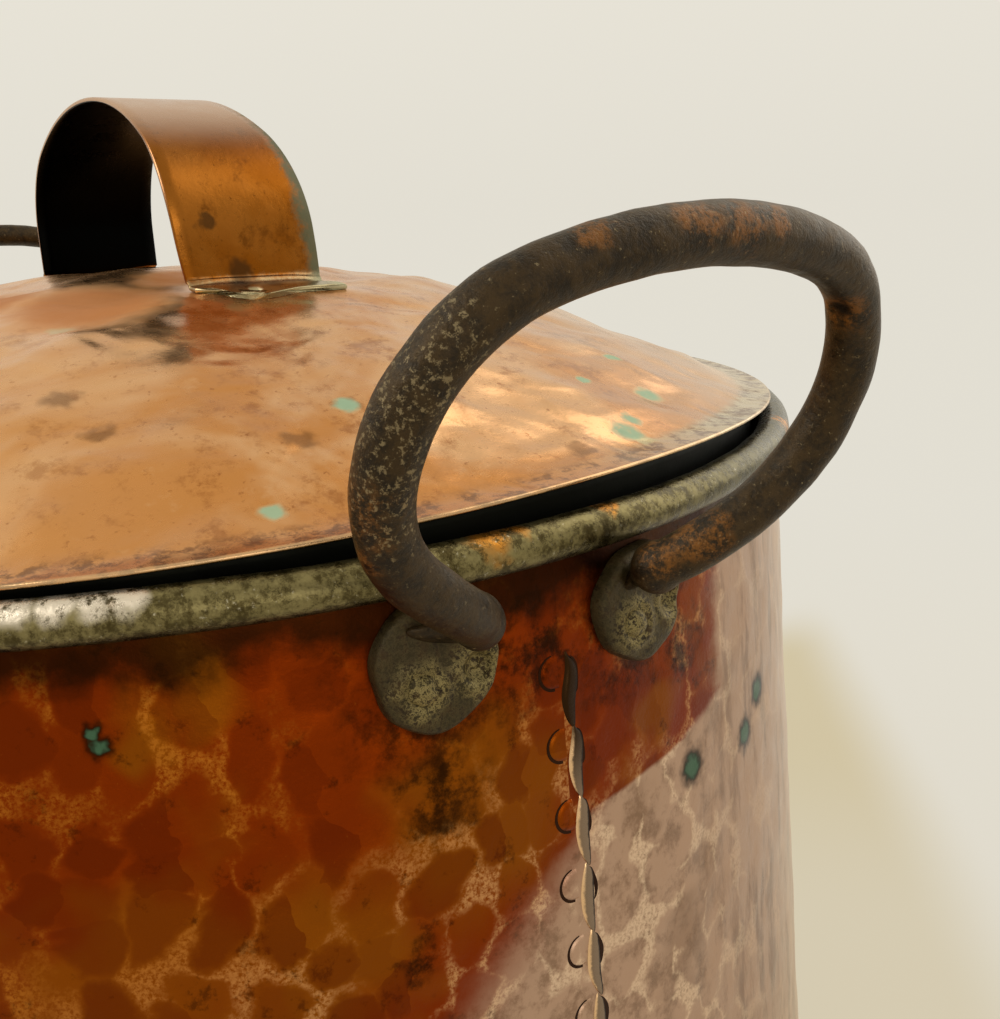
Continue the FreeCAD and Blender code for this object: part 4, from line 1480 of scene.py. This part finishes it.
@dataclass
class DomedLid:
    """The lid's hammered sheet with its brim, sprung up at one side, the flange under it and its strap."""

    sizes: PotSizes
    sheet: float = 1.2 * MM
    brim_width: float = 9.4 * MM
    dome_height: float = 52.0 * MM
    dome_power: float = 2.1
    spring_rise: float = 6.8 * MM
    spring_at: float = 12.0
    spring_spread: float = 36.0
    spring_power: float = 3.0
    seat: float = 0.05 * MM
    soften: float = 1.6 * MM
    flange_depth: float = 20.0 * MM
    flange_gap: float = 2.2 * MM

    @property
    def radius(self) -> float:
        """Radius of the brim's edge."""
        return self.sizes.rim_r - LID_INSET

    @property
    def brim_z(self) -> float:
        """Height of the brim's underside."""
        return self.sizes.rim_z + self.sizes.bead_r + self.seat

    def spring(self, x: np.ndarray, y: np.ndarray) -> np.ndarray:
        """How far the sprung brim lifts the sheet at a place.

        Args:
            x: Places along X, in metres.
            y: Places along Y.

        Returns:
            The lift at each place.
        """
        away = (np.degrees(np.arctan2(y, x)) - self.spring_at + 180) % 360 - 180
        share = np.exp(-((away / self.spring_spread) ** 2))
        return self.spring_rise * share * (np.hypot(x, y) / self.radius) ** self.spring_power

    def top(self, x: np.ndarray, y: np.ndarray) -> np.ndarray:
        """Height of the upper face: the dome, the brim and a soft change between them.

        Args:
            x: Places along X, in metres.
            y: Places along Y.

        Returns:
            The height at each place.
        """
        reach = np.hypot(x, y) / (self.radius - self.brim_width)
        rise = self.dome_height * (1 - reach**self.dome_power)
        soft = self.soften * np.log1p(np.exp(np.clip(rise / self.soften, -30, 30)))
        soft = np.where(rise > 30 * self.soften, rise, soft)
        return self.brim_z + self.sheet + soft - self.soften * 0.2 + self.spring(x, y)

    def dents(self, x: np.ndarray, y: np.ndarray) -> np.ndarray:
        """Soft ripples left by the hammer."""
        fade = 1 - smooth_step(np.hypot(x, y), self.radius - 26 * MM, self.radius - 12 * MM)
        return (ripple(x, y, 44 * MM, 31) * 0.85 + ripple(x, y, 20 * MM, 32) * 0.26) * MM * fade

    def dome(self) -> bpy.types.Object:
        """The sheet, its upper and lower faces joined round the brim's edge.

        Returns:
            The sheet.
        """
        columns, rows = 384, 92
        angles = np.linspace(0, 2 * math.pi, columns, endpoint=False)
        edge = self.radius - self.sheet / 2
        coarse_rows, coarse_share = 62, 0.86
        fine = np.linspace(coarse_share, 1, rows - coarse_rows + 1)[1:]
        reach = np.concatenate([np.linspace(0, coarse_share, coarse_rows), fine])[:, None] * edge
        x, y = reach * np.cos(angles), reach * np.sin(angles)
        upper = self.top(x, y) + self.dents(x, y)
        bulge = np.linspace(0, math.pi, 7)[1:-1, None]
        rim_r = edge + self.sheet / 2 * np.sin(bulge)
        rim_x, rim_y = rim_r * np.cos(angles), rim_r * np.sin(angles)
        rim_z = upper[-1] - self.sheet / 2 + self.sheet / 2 * np.cos(bulge)
        points = np.concatenate([
            np.stack([x, y, upper], -1),
            np.stack([rim_x, rim_y, rim_z], -1),
            np.stack([x, y, upper - self.sheet], -1)[::-1],
        ])
        return grid_object("lid_dome", points, Wrap.COLUMNS)

    def flange(self) -> bpy.types.Object:
        """The band that enters the mouth, up to the lid's underside.

        Returns:
            The band.
        """
        outer = self.sizes.rim_r - self.sizes.bead_r - self.flange_gap
        inner = outer - self.sheet
        angles = np.linspace(0, 2 * math.pi, 256, endpoint=False)
        rows = []
        upward, downward = np.linspace(0, 1, 8), np.linspace(1, 0, 8)
        for radius, share in [(outer, t) for t in upward] + [(inner, t) for t in downward]:
            x, y = radius * np.cos(angles), radius * np.sin(angles)
            low, high = self.brim_z - self.flange_depth, self.top(x, y) - self.sheet - 0.1 * MM
            rows.append(np.stack([x, y, low + (high - low) * share], -1))
        return grid_object("mouth_flange", np.array(rows), Wrap.BOTH)

    def material(self) -> bpy.types.Material:
        """Orange copper that pales to grey green on the brim's right, with green spots and dark stains, a
        painted reflection paler towards +y and painted highlights on the near left and in pale spots.

        Returns:
            The finished material.
        """
        finish = TarnishedCopper("lid_copper", (0.62, 0.265, 0.072), (0.76, 0.43, 0.20), (0.33, 0.105, 0.020),
                                 dent=2.6 * MM, roughness=0.24)
        g = Graph(finish.name)
        colour = finish.colour(g)
        x, y, _ = g.split(g.place)
        flat = g.node("ShaderNodeCombineXYZ")
        g.feed(flat.inputs[0], x)
        g.feed(flat.inputs[1], y)
        reach = g.far_from(flat.outputs[0], (0.0, 0.0, 0.0))
        grain = g.cloud(g.place, 6 * MM, 7.0, 0.75)
        sideways = g.rise(g.math("SUBTRACT", y, x), -0.215, -0.09)
        ragged = g.sloped(g.math("SUBTRACT", grain, 0.5), 8 * MM, reach)
        brim = g.rise(ragged, self.radius - 13 * MM, self.radius - 8 * MM)
        colour = g.mix(g.times(g.times(brim, sideways), 0.85), colour, (0.60, 0.55, 0.36))
        # Painted reflection: paler towards +y, the far side of the dome.
        far = g.times(g.rise(y, 0.02, 0.17), 0.55)
        colour = g.mix(far, colour, (0.74, 0.60, 0.42))
        # Painted highlight: a warm glow on the near left.
        near_left_highlight = g.rise(g.sloped(x, -0.5, g.times(y, -1.0)), -0.06, 0.10)
        colour = g.mix(g.times(near_left_highlight, 0.5), colour, (0.86, 0.46, 0.18))
        lines = g.times(g.times(brim, g.rise(grain, 0.54, 0.40)), 0.75)
        colour = g.mix(lines, colour, (0.16, 0.055, 0.012))
        stains = spots_at(
            (169.6, -18.6, 373.2, 9), (179.2, -36.5, 368.7, 11), (129.9, -78.6, 378.4, 13),
            (150.0, -75.0, 372.0, 10), (205.9, 30.0, 360.0, 9),
        )
        place = g.wobble(g.place, 7 * MM, 9 * MM)
        colour = g.mix(g.times(spot_mask(g, place, stains), 0.6), colour, (0.15, 0.055, 0.012))
        # Painted highlights: pale spots on the dome.
        pale = spots_at(
            (92.0, -11.6, 395.0, 14), (94.0, -2.0, 394.0, 13), (96.0, 7.0, 393.5, 11),
            (82.5, -64.0, 391.5, 10), (205.9, 52.6, 358.8, 9),
        )
        colour = g.mix(g.times(spot_mask(g, place, pale), 0.7), colour, (0.62, 0.56, 0.30))
        spots = [self.spot(170.6, -6.2, 9), self.spot(207.2, -15.3, 8), self.spot(175.3, 31.2, 9),
                 self.spot(180.2, 20.1, 7), self.spot(194.4, 25.4, 12), self.spot(207.3, 14.2, 13),
                 self.spot(203.0, 16.5, 8)]
        mask = spot_mask(g, g.wobble(g.place, 4 * MM, 4 * MM), spots)
        mask = g.times(mask, g.rise(grain, 0.30, 0.48))
        colour = g.mix(g.times(mask, 0.9), colour, (0.24, 0.38, 0.24))
        worn = g.times(g.rise(reach, self.radius - 0.9 * MM, self.radius - 0.3 * MM), 0.6)
        mirrored = spots_at((62, -48, 395, 70), (40, -5, 398, 56), (30, -70, 393, 50))
        under = spot_mask(g, g.wobble(g.place, 12 * MM, 10 * MM), mirrored)
        colour = g.mix(under, colour, (0.42, 0.155, 0.035))
        dull = g.math("MAXIMUM", mask, g.times(under, 0.85))
        return finish.close(g, g.mix(worn, colour, (0.62, 0.44, 0.25)), dull)

    def spot(self, radius: float, degrees: float, width: float) -> Spot:
        """A green spot on the dome, in millimetres from the lid's middle."""
        x, y, _ = around(radius * MM, degrees, 0.0)
        return Spot(x, y, float(self.top(np.array(x), np.array(y))), width * MM)

    def build(self) -> None:
        """Builds and dresses the lid, its flange and its strap."""
        dress(self.dome(), self.material(), ["lid"])
        # The flange is painted nearly black: painted shade in the gap under the lid.
        flange = TarnishedCopper(
            "flange_shade", base=(0.005, 0.0055, 0.003), warm=(0.010, 0.010, 0.005),
            dark=(0.002, 0.002, 0.0015), roughness=0.5, metallic=0.9,
        )
        dress(self.flange(), flange.material(), ["lid_flange"])
        LidStrap(self).build()


@dataclass
class LidStrap:
    """The wide arch on the lid, with feet turned outward and a rivet through each."""

    lid: DomedLid
    sheet: float = 1.6 * MM
    half_span: float = 70.2 * MM
    rise: float = 65.0 * MM
    bend_r: float = 38.0 * MM
    crown_r: float = 100.0 * MM
    half_width: float = 24.45 * MM
    waist: float = 9.0 * MM
    belly: float = 3.6 * MM
    corner_cut: float = 0.66
    turn: float = math.radians(3.7)
    foot: float = 18.0 * MM
    foot_bend: float = 2.6 * MM
    seat: float = 0.1 * MM
    rivet_out: float = 9.0 * MM
    rivet_shift: float = 6.0 * MM

    def turned(self, x: np.ndarray, y: np.ndarray) -> tuple[np.ndarray, np.ndarray]:
        """A place in the strap's own plan, turned into the pot's."""
        cos, sin = math.cos(self.turn), math.sin(self.turn)
        return x * cos - y * sin, x * sin + y * cos

    def ground(self, x: np.ndarray, y: np.ndarray) -> np.ndarray:
        """Height of the lid's upper face under a place in the strap's plan."""
        px, py = self.turned(x, y)
        return self.lid.top(px, py) + self.lid.dents(px, py)

    def half_path(self) -> np.ndarray:
        """The outside line from the foot's tip up to the crown, as distance out and height over the foot.

        Returns:
            The line's points.
        """
        half, bend, crown = self.half_span, self.bend_r, self.crown_r
        centre_z = self.rise - crown
        bend_x = half - bend
        bend_z = centre_z + math.sqrt((crown - bend) ** 2 - bend_x**2)
        join = math.atan2(bend_z - centre_z, bend_x)
        r = self.foot_bend
        tip = np.stack([np.linspace(half + self.foot, half + r, 12), np.zeros(12)], -1)
        turn = np.linspace(-math.pi / 2, -math.pi, 7)[1:]
        corner = np.stack([half + r + r * np.cos(turn), r + r * np.sin(turn)], -1)
        leg = np.stack([np.full(8, half), np.linspace(r, bend_z, 9)[1:]], -1)
        angles = np.linspace(0, join, 26)[1:]
        shoulder = np.stack([bend_x + bend * np.cos(angles), bend_z + bend * np.sin(angles)], -1)
        angles = np.linspace(join, math.pi / 2, 16)[1:]
        top = np.stack([crown * np.cos(angles), centre_z + crown * np.sin(angles)], -1)
        return np.concatenate([tip, corner, leg, shoulder, top])

    def arch(self) -> bpy.types.Object:
        """The strap, as a closed band of even thickness.

        Returns:
            The strap.
        """
        half = self.half_path()
        path = np.concatenate([half, (half * [-1, 1])[::-1][1:]])
        step = np.gradient(path, axis=0)
        step /= np.linalg.norm(step, axis=1)[:, None]
        normal = np.stack([step[:, 1], -step[:, 0]], -1)
        lift = np.clip(path[:, 1] / self.rise, 0, 1)
        near = path[:, 0] > 0
        right = self.half_width - self.waist * np.where(near, lift**1.5, lift**5)
        left = -self.half_width - np.where(near, self.belly * np.sin(math.pi * lift), 0.0)
        base = float(self.ground(np.array(self.half_span), np.array(0.0)))
        section = self.section()
        rows = []
        for k, z in enumerate(path[:, 1]):
            row = []
            for across, depth in section:
                x = path[k, 0]
                y = left[k] + (right[k] - left[k]) * (across + 1) / 2
                if x > self.half_span:
                    cut = 1 - float(smooth_step(np.array(y), -self.half_width, -self.half_width + 14 * MM))
                    x = self.half_span + (path[k, 0] - self.half_span) * (0.92 - self.corner_cut * cut)
                px, pz = x - normal[k, 0] * depth * self.sheet, z - normal[k, 1] * depth * self.sheet
                px, pz = (px, pz) if abs(x) <= self.half_span else (x, z + (1 - depth) * self.sheet)
                hug = 1 - float(smooth_step(np.array(z), 0.0, 12 * MM))
                ground = float(self.ground(np.array(px), np.array(y))) + self.seat - base
                wx, wy = self.turned(px, y)
                row.append((wx, wy, base + pz + ground * hug + self.seat * (1 - hug)))
            rows.append(row)
        points = np.array(rows)
        ends = [np.repeat(points[k].mean(0)[None], points.shape[1], 0)[None] for k in (0, -1)]
        return grid_object("strap_arch", np.concatenate([ends[0], points, ends[1]]), Wrap.COLUMNS)

    def section(self) -> list[tuple[float, float]]:
        """The band's section: place across it from -1 to 1, and depth from 0 outside to 1 inside.

        Returns:
            The section's points.
        """
        inset = 0.018
        upper = [(t, 0.0) for t in np.linspace(-1 + inset, 1 - inset, 12)]
        lower = [(t, 1.0) for t in np.linspace(1 - inset, -1 + inset, 12)]
        return upper + [(1.0, 0.25), (1.0, 0.75)] + lower + [(-1.0, 0.75), (-1.0, 0.25)]

    def rivets(self) -> bpy.types.Object:
        """A small low head on each foot.

        Returns:
            The joined heads.
        """
        pieces = []
        for sign in (-1, 1):
            cx, cy = sign * (self.half_span + self.rivet_out), -sign * self.rivet_shift
            a, s = rings(24, 9)
            x, y = cx + 3.2 * MM * s * np.cos(a), cy + 3.2 * MM * s * np.sin(a)
            for side in (1, -1):
                face = self.ground(x, y) + (self.sheet + self.seat if side > 0 else -self.lid.sheet)
                px, py = self.turned(x, y)
                z = face + side * (1.2 * MM * (1 - s**2.4) - 0.2 * MM)
                pieces.append(grid_object("head", np.stack([px, py, z], -1), Wrap.COLUMNS))
        return joined("strap_rivet_heads", pieces)

    def material(self) -> bpy.types.Material:
        """Orange brown sheet, green along its right edges and over its feet, with a pink painted highlight on
        its front edge and crown, and black inside as painted shade.

        Returns:
            The finished material.
        """
        finish = TarnishedCopper(
            "strap_copper", base=(0.225, 0.066, 0.0045), warm=(0.28, 0.095, 0.012),
            dark=(0.100, 0.029, 0.003), dent=0.25 * MM, roughness=0.26,
        )
        g = Graph(finish.name)
        colour = finish.colour(g)
        x, y, z = g.split(g.place)
        grain = g.cloud(g.place, 5 * MM, 8.0, 0.78)
        base = self.lid.brim_z + self.lid.dome_height - 6 * MM
        # Painted highlight: pink along the front edge and over the crown.
        front = g.rise(y, -self.half_width + 1.5 * MM, -self.half_width)
        edge = g.times(front, g.rise(z, base + 10 * MM, base + 40 * MM))
        pink = g.times(g.math("MAXIMUM", g.rise(z, base + 46 * MM, base + 64 * MM), edge), 0.85)
        colour = g.mix(pink, colour, (0.66, 0.43, 0.27))
        ragged = g.sloped(g.math("SUBTRACT", grain, 0.5), 15 * MM, y)
        shift = g.sloped(z, -0.11, 0.062)
        verdigris = g.rise(g.math("SUBTRACT", ragged, shift), 4.5 * MM, 10 * MM)
        colour = g.mix(g.times(verdigris, 0.85), colour, (0.060, 0.085, 0.035))
        low = g.sloped(g.math("SUBTRACT", grain, 0.5), 9 * MM, z)
        foot = g.rise(low, base + 7 * MM, base + 1 * MM)
        colour = g.mix(g.times(foot, 0.75), colour, (0.52, 0.48, 0.28))
        dark = spots_at(
            (70.9, -11.8, 420.1, 8), (70.4, -1.5, 403.7, 12), (73.5, 21.4, 399.3, 9), (76.0, 8.0, 399.0, 9)
        )
        stained = spot_mask(g, g.wobble(g.place, 5 * MM, 8 * MM), dark)
        colour = g.mix(g.times(stained, 0.75), colour, (0.045, 0.022, 0.008))
        # Painted shade: the arch's inside nearly black.
        inside = g.times(self.inside(g), g.rise(z, base + 1 * MM, base + 4 * MM))
        soot_and_shade = g.mix(inside, colour, (0.0015, 0.0015, 0.0012))
        return finish.close(g, soot_and_shade, g.times(verdigris, 0.8))

    def inside(self, g: Graph) -> Socket:
        """One where the surface faces the arch's middle and zero elsewhere.

        Args:
            g: The graph that the nodes are added to.

        Returns:
            The mask.
        """
        geometry = g.node("ShaderNodeNewGeometry")
        middle = (0.0, 0.0, self.lid.brim_z + self.lid.dome_height + 8 * MM)
        inward = g.node("ShaderNodeVectorMath", operation="SUBTRACT")
        inward.inputs[0].default_value = middle
        g.feed(inward.inputs[1], g.scaled(g.place, (1.0, 0.0, 1.0)))
        unit = g.node("ShaderNodeVectorMath", operation="NORMALIZE")
        g.feed(unit.inputs[0], inward.outputs[0])
        facing = g.node("ShaderNodeVectorMath", operation="DOT_PRODUCT")
        g.feed(facing.inputs[0], geometry.outputs["True Normal"])
        g.feed(facing.inputs[1], unit.outputs[0])
        return g.rise(facing.outputs["Value"], 0.15, 0.45)

    def build(self) -> None:
        """Builds and dresses the arch and its rivets."""
        finish = self.material()
        dress(self.arch(), finish, ["lid_strap"])
        dress(self.rivets(), finish, ["lid_strap_rivets"])


@dataclass
class PotBase:
    """The dished bottom, which laps over the wall's foot."""

    sizes: PotSizes
    corner_r: float = 30.0 * MM

    def dish(self) -> bpy.types.Object:
        """A closed lathe of the dish's section.

        Returns:
            The dish.
        """
        s = self.sizes
        tilt = math.atan(s.slope)
        gap = 0.1 * MM + s.base_sheet
        side_r = s.wall_r(self.corner_r) + gap * math.hypot(1, s.slope)
        centre_r = side_r - self.corner_r * math.hypot(1, s.slope)
        turns = np.linspace(-math.pi / 2, tilt, 12)

        def skin(offset: float) -> np.ndarray:
            """One face of the dish, from the middle out and up to the lap's edge.

            Args:
                offset: Distance in from the outer face.

            Returns:
                The face's points, as radius and height.
            """
            radius = self.corner_r - offset
            corner = np.stack([centre_r + radius * np.cos(turns), self.corner_r + radius * np.sin(turns)], -1)
            corner[:, 0] = np.minimum(corner[:, 0], s.base_r)
            lap = s.wall_r(s.lap_z) + (gap - offset) * math.hypot(1, s.slope)
            bottom = np.stack([np.linspace(0, centre_r, 14)[:-1], np.full(13, offset)], -1)
            return np.concatenate([bottom, corner, [[lap, s.lap_z]]])

        profile = np.concatenate([skin(0.0), skin(s.base_sheet)[::-1]])
        return grid_object("dished_base", lathe(profile, 320), Wrap.COLUMNS)

    def build(self) -> None:
        """Builds and dresses the base."""
        copper = TarnishedCopper(
            "base_copper", base=(0.20, 0.050, 0.010), warm=(0.30, 0.11, 0.035), dark=(0.035, 0.013, 0.006),
            roughness=0.34,
        )
        dress(self.dish(), copper.material(), ["pot_base"])


@dataclass(frozen=True)
class Studio:
    """The pale floor, the soft lamps and the camera at the photograph's place."""

    pale: Colour = (0.80, 0.765, 0.675)
    far_tone: Colour = (0.765, 0.733, 0.646)
    shade: Colour = (0.62, 0.53, 0.38)
    eye: tuple[float, float, float] = (0.42087, -0.15028, 0.4223)
    heading: float = math.radians(144.46)
    pitch: float = math.radians(-15.55)
    roll: float = math.radians(-2.29)
    lens: float = 38.86

    def camera(self) -> None:
        """Places the camera."""
        forward = Vector((math.cos(self.heading) * math.cos(self.pitch),
                          math.sin(self.heading) * math.cos(self.pitch), math.sin(self.pitch)))
        level = Vector((math.sin(self.heading), -math.cos(self.heading), 0))
        upright = level.cross(forward)
        right = level * math.cos(self.roll) + upright * math.sin(self.roll)
        up = right.cross(forward)
        data = bpy.data.cameras.new("photo_camera")
        data.lens, data.sensor_width, data.clip_start = self.lens, 36.0, 0.01
        camera = bpy.data.objects.new("photo_camera", data)
        turn = Matrix((right, up, -forward)).transposed()
        camera.matrix_world = Matrix.Translation(self.eye) @ turn.to_4x4()
        bpy.context.scene.collection.objects.link(camera)
        bpy.context.scene.camera = camera

    def lamp(self, name: str, place: Vector, target: Vector, size: float, watts: float, tint: Colour) -> None:
        """Adds a soft square lamp that looks at a target.

        Args:
            name: The lamp's name.
            place: Where it hangs, in metres.
            target: Where it looks.
            size: Length of its side.
            watts: Its power.
            tint: Its colour.
        """
        data = bpy.data.lights.new(name, "AREA")
        data.size, data.energy, data.color = size, watts, tint
        lamp = bpy.data.objects.new(name, data)
        lamp.location = place
        lamp.rotation_euler = (target - place).to_track_quat("-Z", "Y").to_euler()
        bpy.context.scene.collection.objects.link(lamp)

    def floor(self) -> None:
        """A wide floor with a faint real shadow near the pot, a painted shadow patch on the pot's +y side,
        and the surround's even tone farther off.
        """
        half = 6.0
        corners = [(-half, -half, 0), (half, -half, 0), (half, half, 0), (-half, half, 0)]
        mesh = bpy.data.meshes.new("floor")
        mesh.from_pydata(corners, [], [(0, 1, 2, 3)])
        floor = bpy.data.objects.new("floor", mesh)
        bpy.context.scene.collection.objects.link(floor)
        g = Graph("pale_floor")
        g.feed(g.shader.inputs["Specular IOR Level"], 0.0)
        material = g.finish(self.shade, 0.9, 0.0)
        x, y, _ = g.split(g.place)
        # Painted shadow: a soft darker patch on the pot's +y side, in the floor's even glow.
        beyond = g.sloped(x, 0.645, g.times(y, 0.764))
        shadow = g.times(g.rise(beyond, 0.42, 0.345), g.rise(x, -0.30, -0.20))
        shadow = g.times(shadow, g.times(g.rise(y, 0.05, 0.22), g.rise(x, 0.36, 0.24)))
        deep = g.rise(g.math("SUBTRACT", y, x), 0.25, 0.60)
        tone = g.mix(deep, (0.67, 0.605, 0.455), (0.640, 0.555, 0.370))
        even = g.node("ShaderNodeEmission")
        g.feed(even.inputs["Color"], g.mix(shadow, self.far_tone, tone))
        blend = g.node("ShaderNodeMixShader")
        beside = g.sloped(x, -0.55, y)
        path = g.node("ShaderNodeLightPath")
        ray = g.math("MAXIMUM", path.outputs["Is Camera Ray"], path.outputs["Is Glossy Ray"])
        g.feed(blend.inputs[0], g.times(ray, g.sloped(g.rise(beside, 0.05, 1.5), 0.15, 0.85)))
        g.tree.links.new(g.shader.outputs["BSDF"], blend.inputs[1])
        g.tree.links.new(even.outputs[0], blend.inputs[2])
        output = next(node for node in g.tree.nodes if node.type == "OUTPUT_MATERIAL")
        g.tree.links.new(blend.outputs[0], output.inputs["Surface"])
        floor.data.materials.append(material)

    def world(self) -> None:
        """A pale surround, plain to the eye and brighter overhead in reflections and as a light."""
        world = bpy.data.worlds.new("studio")
        world.use_nodes = True
        bpy.context.scene.world = world
        tree = world.node_tree
        background = tree.nodes["Background"]
        path = tree.nodes.new("ShaderNodeLightPath")
        place = tree.nodes.new("ShaderNodeTexCoord")
        axes = tree.nodes.new("ShaderNodeSeparateXYZ")
        tree.links.new(place.outputs["Generated"], axes.inputs[0])

        def ramp(part: int, kind: str, values: tuple[float, float, float, float]) -> Socket:
            """A clamped rise along one part of the direction.

            Args:
                part: 0, 1 or 2 for X, Y or Z.
                kind: How the rise is eased.
                values: Where it starts and ends, and what it gives there.

            Returns:
                The rise.
            """
            made = tree.nodes.new("ShaderNodeMapRange")
            made.interpolation_type = kind
            tree.links.new(axes.outputs[part], made.inputs["Value"])
            for name, value in zip(("From Min", "From Max", "To Min", "To Max"), values):
                made.inputs[name].default_value = value
            return made.outputs[0]

        def combined(operation: str, one: Socket, other: Socket) -> Socket:
            """One value from two.

            Args:
                operation: What the node does with them.
                one: The first value.
                other: The second value.

            Returns:
                The result.
            """
            made = tree.nodes.new("ShaderNodeMath")
            made.operation = operation
            tree.links.new(one, made.inputs[0])
            tree.links.new(other, made.inputs[1])
            return made.outputs[0]

        overhead = ramp(2, "SMOOTHSTEP", (0.0, 0.85, 0.40, 0.92))
        sideways = ramp(1, "SMOOTHSTEP", (-0.1, 0.9, 0.0, 0.45))
        seen = ramp(2, "LINEAR", (0.0, 0.17, 0.957, 1.0))
        direct: Socket = path.outputs["Is Camera Ray"]
        for kind in ("Is Glossy Ray", "Is Transmission Ray"):
            direct = combined("MAXIMUM", direct, path.outputs[kind])
        strength = tree.nodes.new("ShaderNodeMix")
        strength.data_type = "FLOAT"
        tree.links.new(direct, strength.inputs[0])
        tree.links.new(combined("ADD", overhead, sideways), strength.inputs[2])
        tree.links.new(seen, strength.inputs[3])
        tree.links.new(strength.outputs[0], background.inputs["Strength"])
        background.inputs["Color"].default_value = (*self.pale, 1.0)

    def build(self) -> None:
        """Sets the whole studio."""
        self.camera()
        self.floor()
        self.world()
        target = Vector((0.10, 0, 0.34))
        self.lamp("window", Vector((0.35, 1.10, 1.05)), target, 1.6, 10.0, (1.0, 0.97, 0.93))
        self.lamp("sky", Vector((-0.1, -1.1, 1.25)), target, 0.9, 11.0, (1.0, 0.98, 0.95))
        self.lamp("fill", Vector((1.5, -0.3, 0.60)), target, 0.7, 2.5, (1.0, 0.98, 0.95))
        bpy.context.scene.view_settings.view_transform = "Standard"


def main() -> None:
    """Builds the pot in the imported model's frame."""
    logging.basicConfig(level=logging.INFO, format="%(message)s")
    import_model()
    sizes = PotSizes.from_frame()
    Studio().build()
    PotWall(sizes).build()
    PotBase(sizes).build()
    LoopHandle(sizes, "right").build()
    LoopHandle(sizes, "left", turn=math.pi).build()
    DomedLid(sizes).build()


if __name__ == "__main__":
    main()
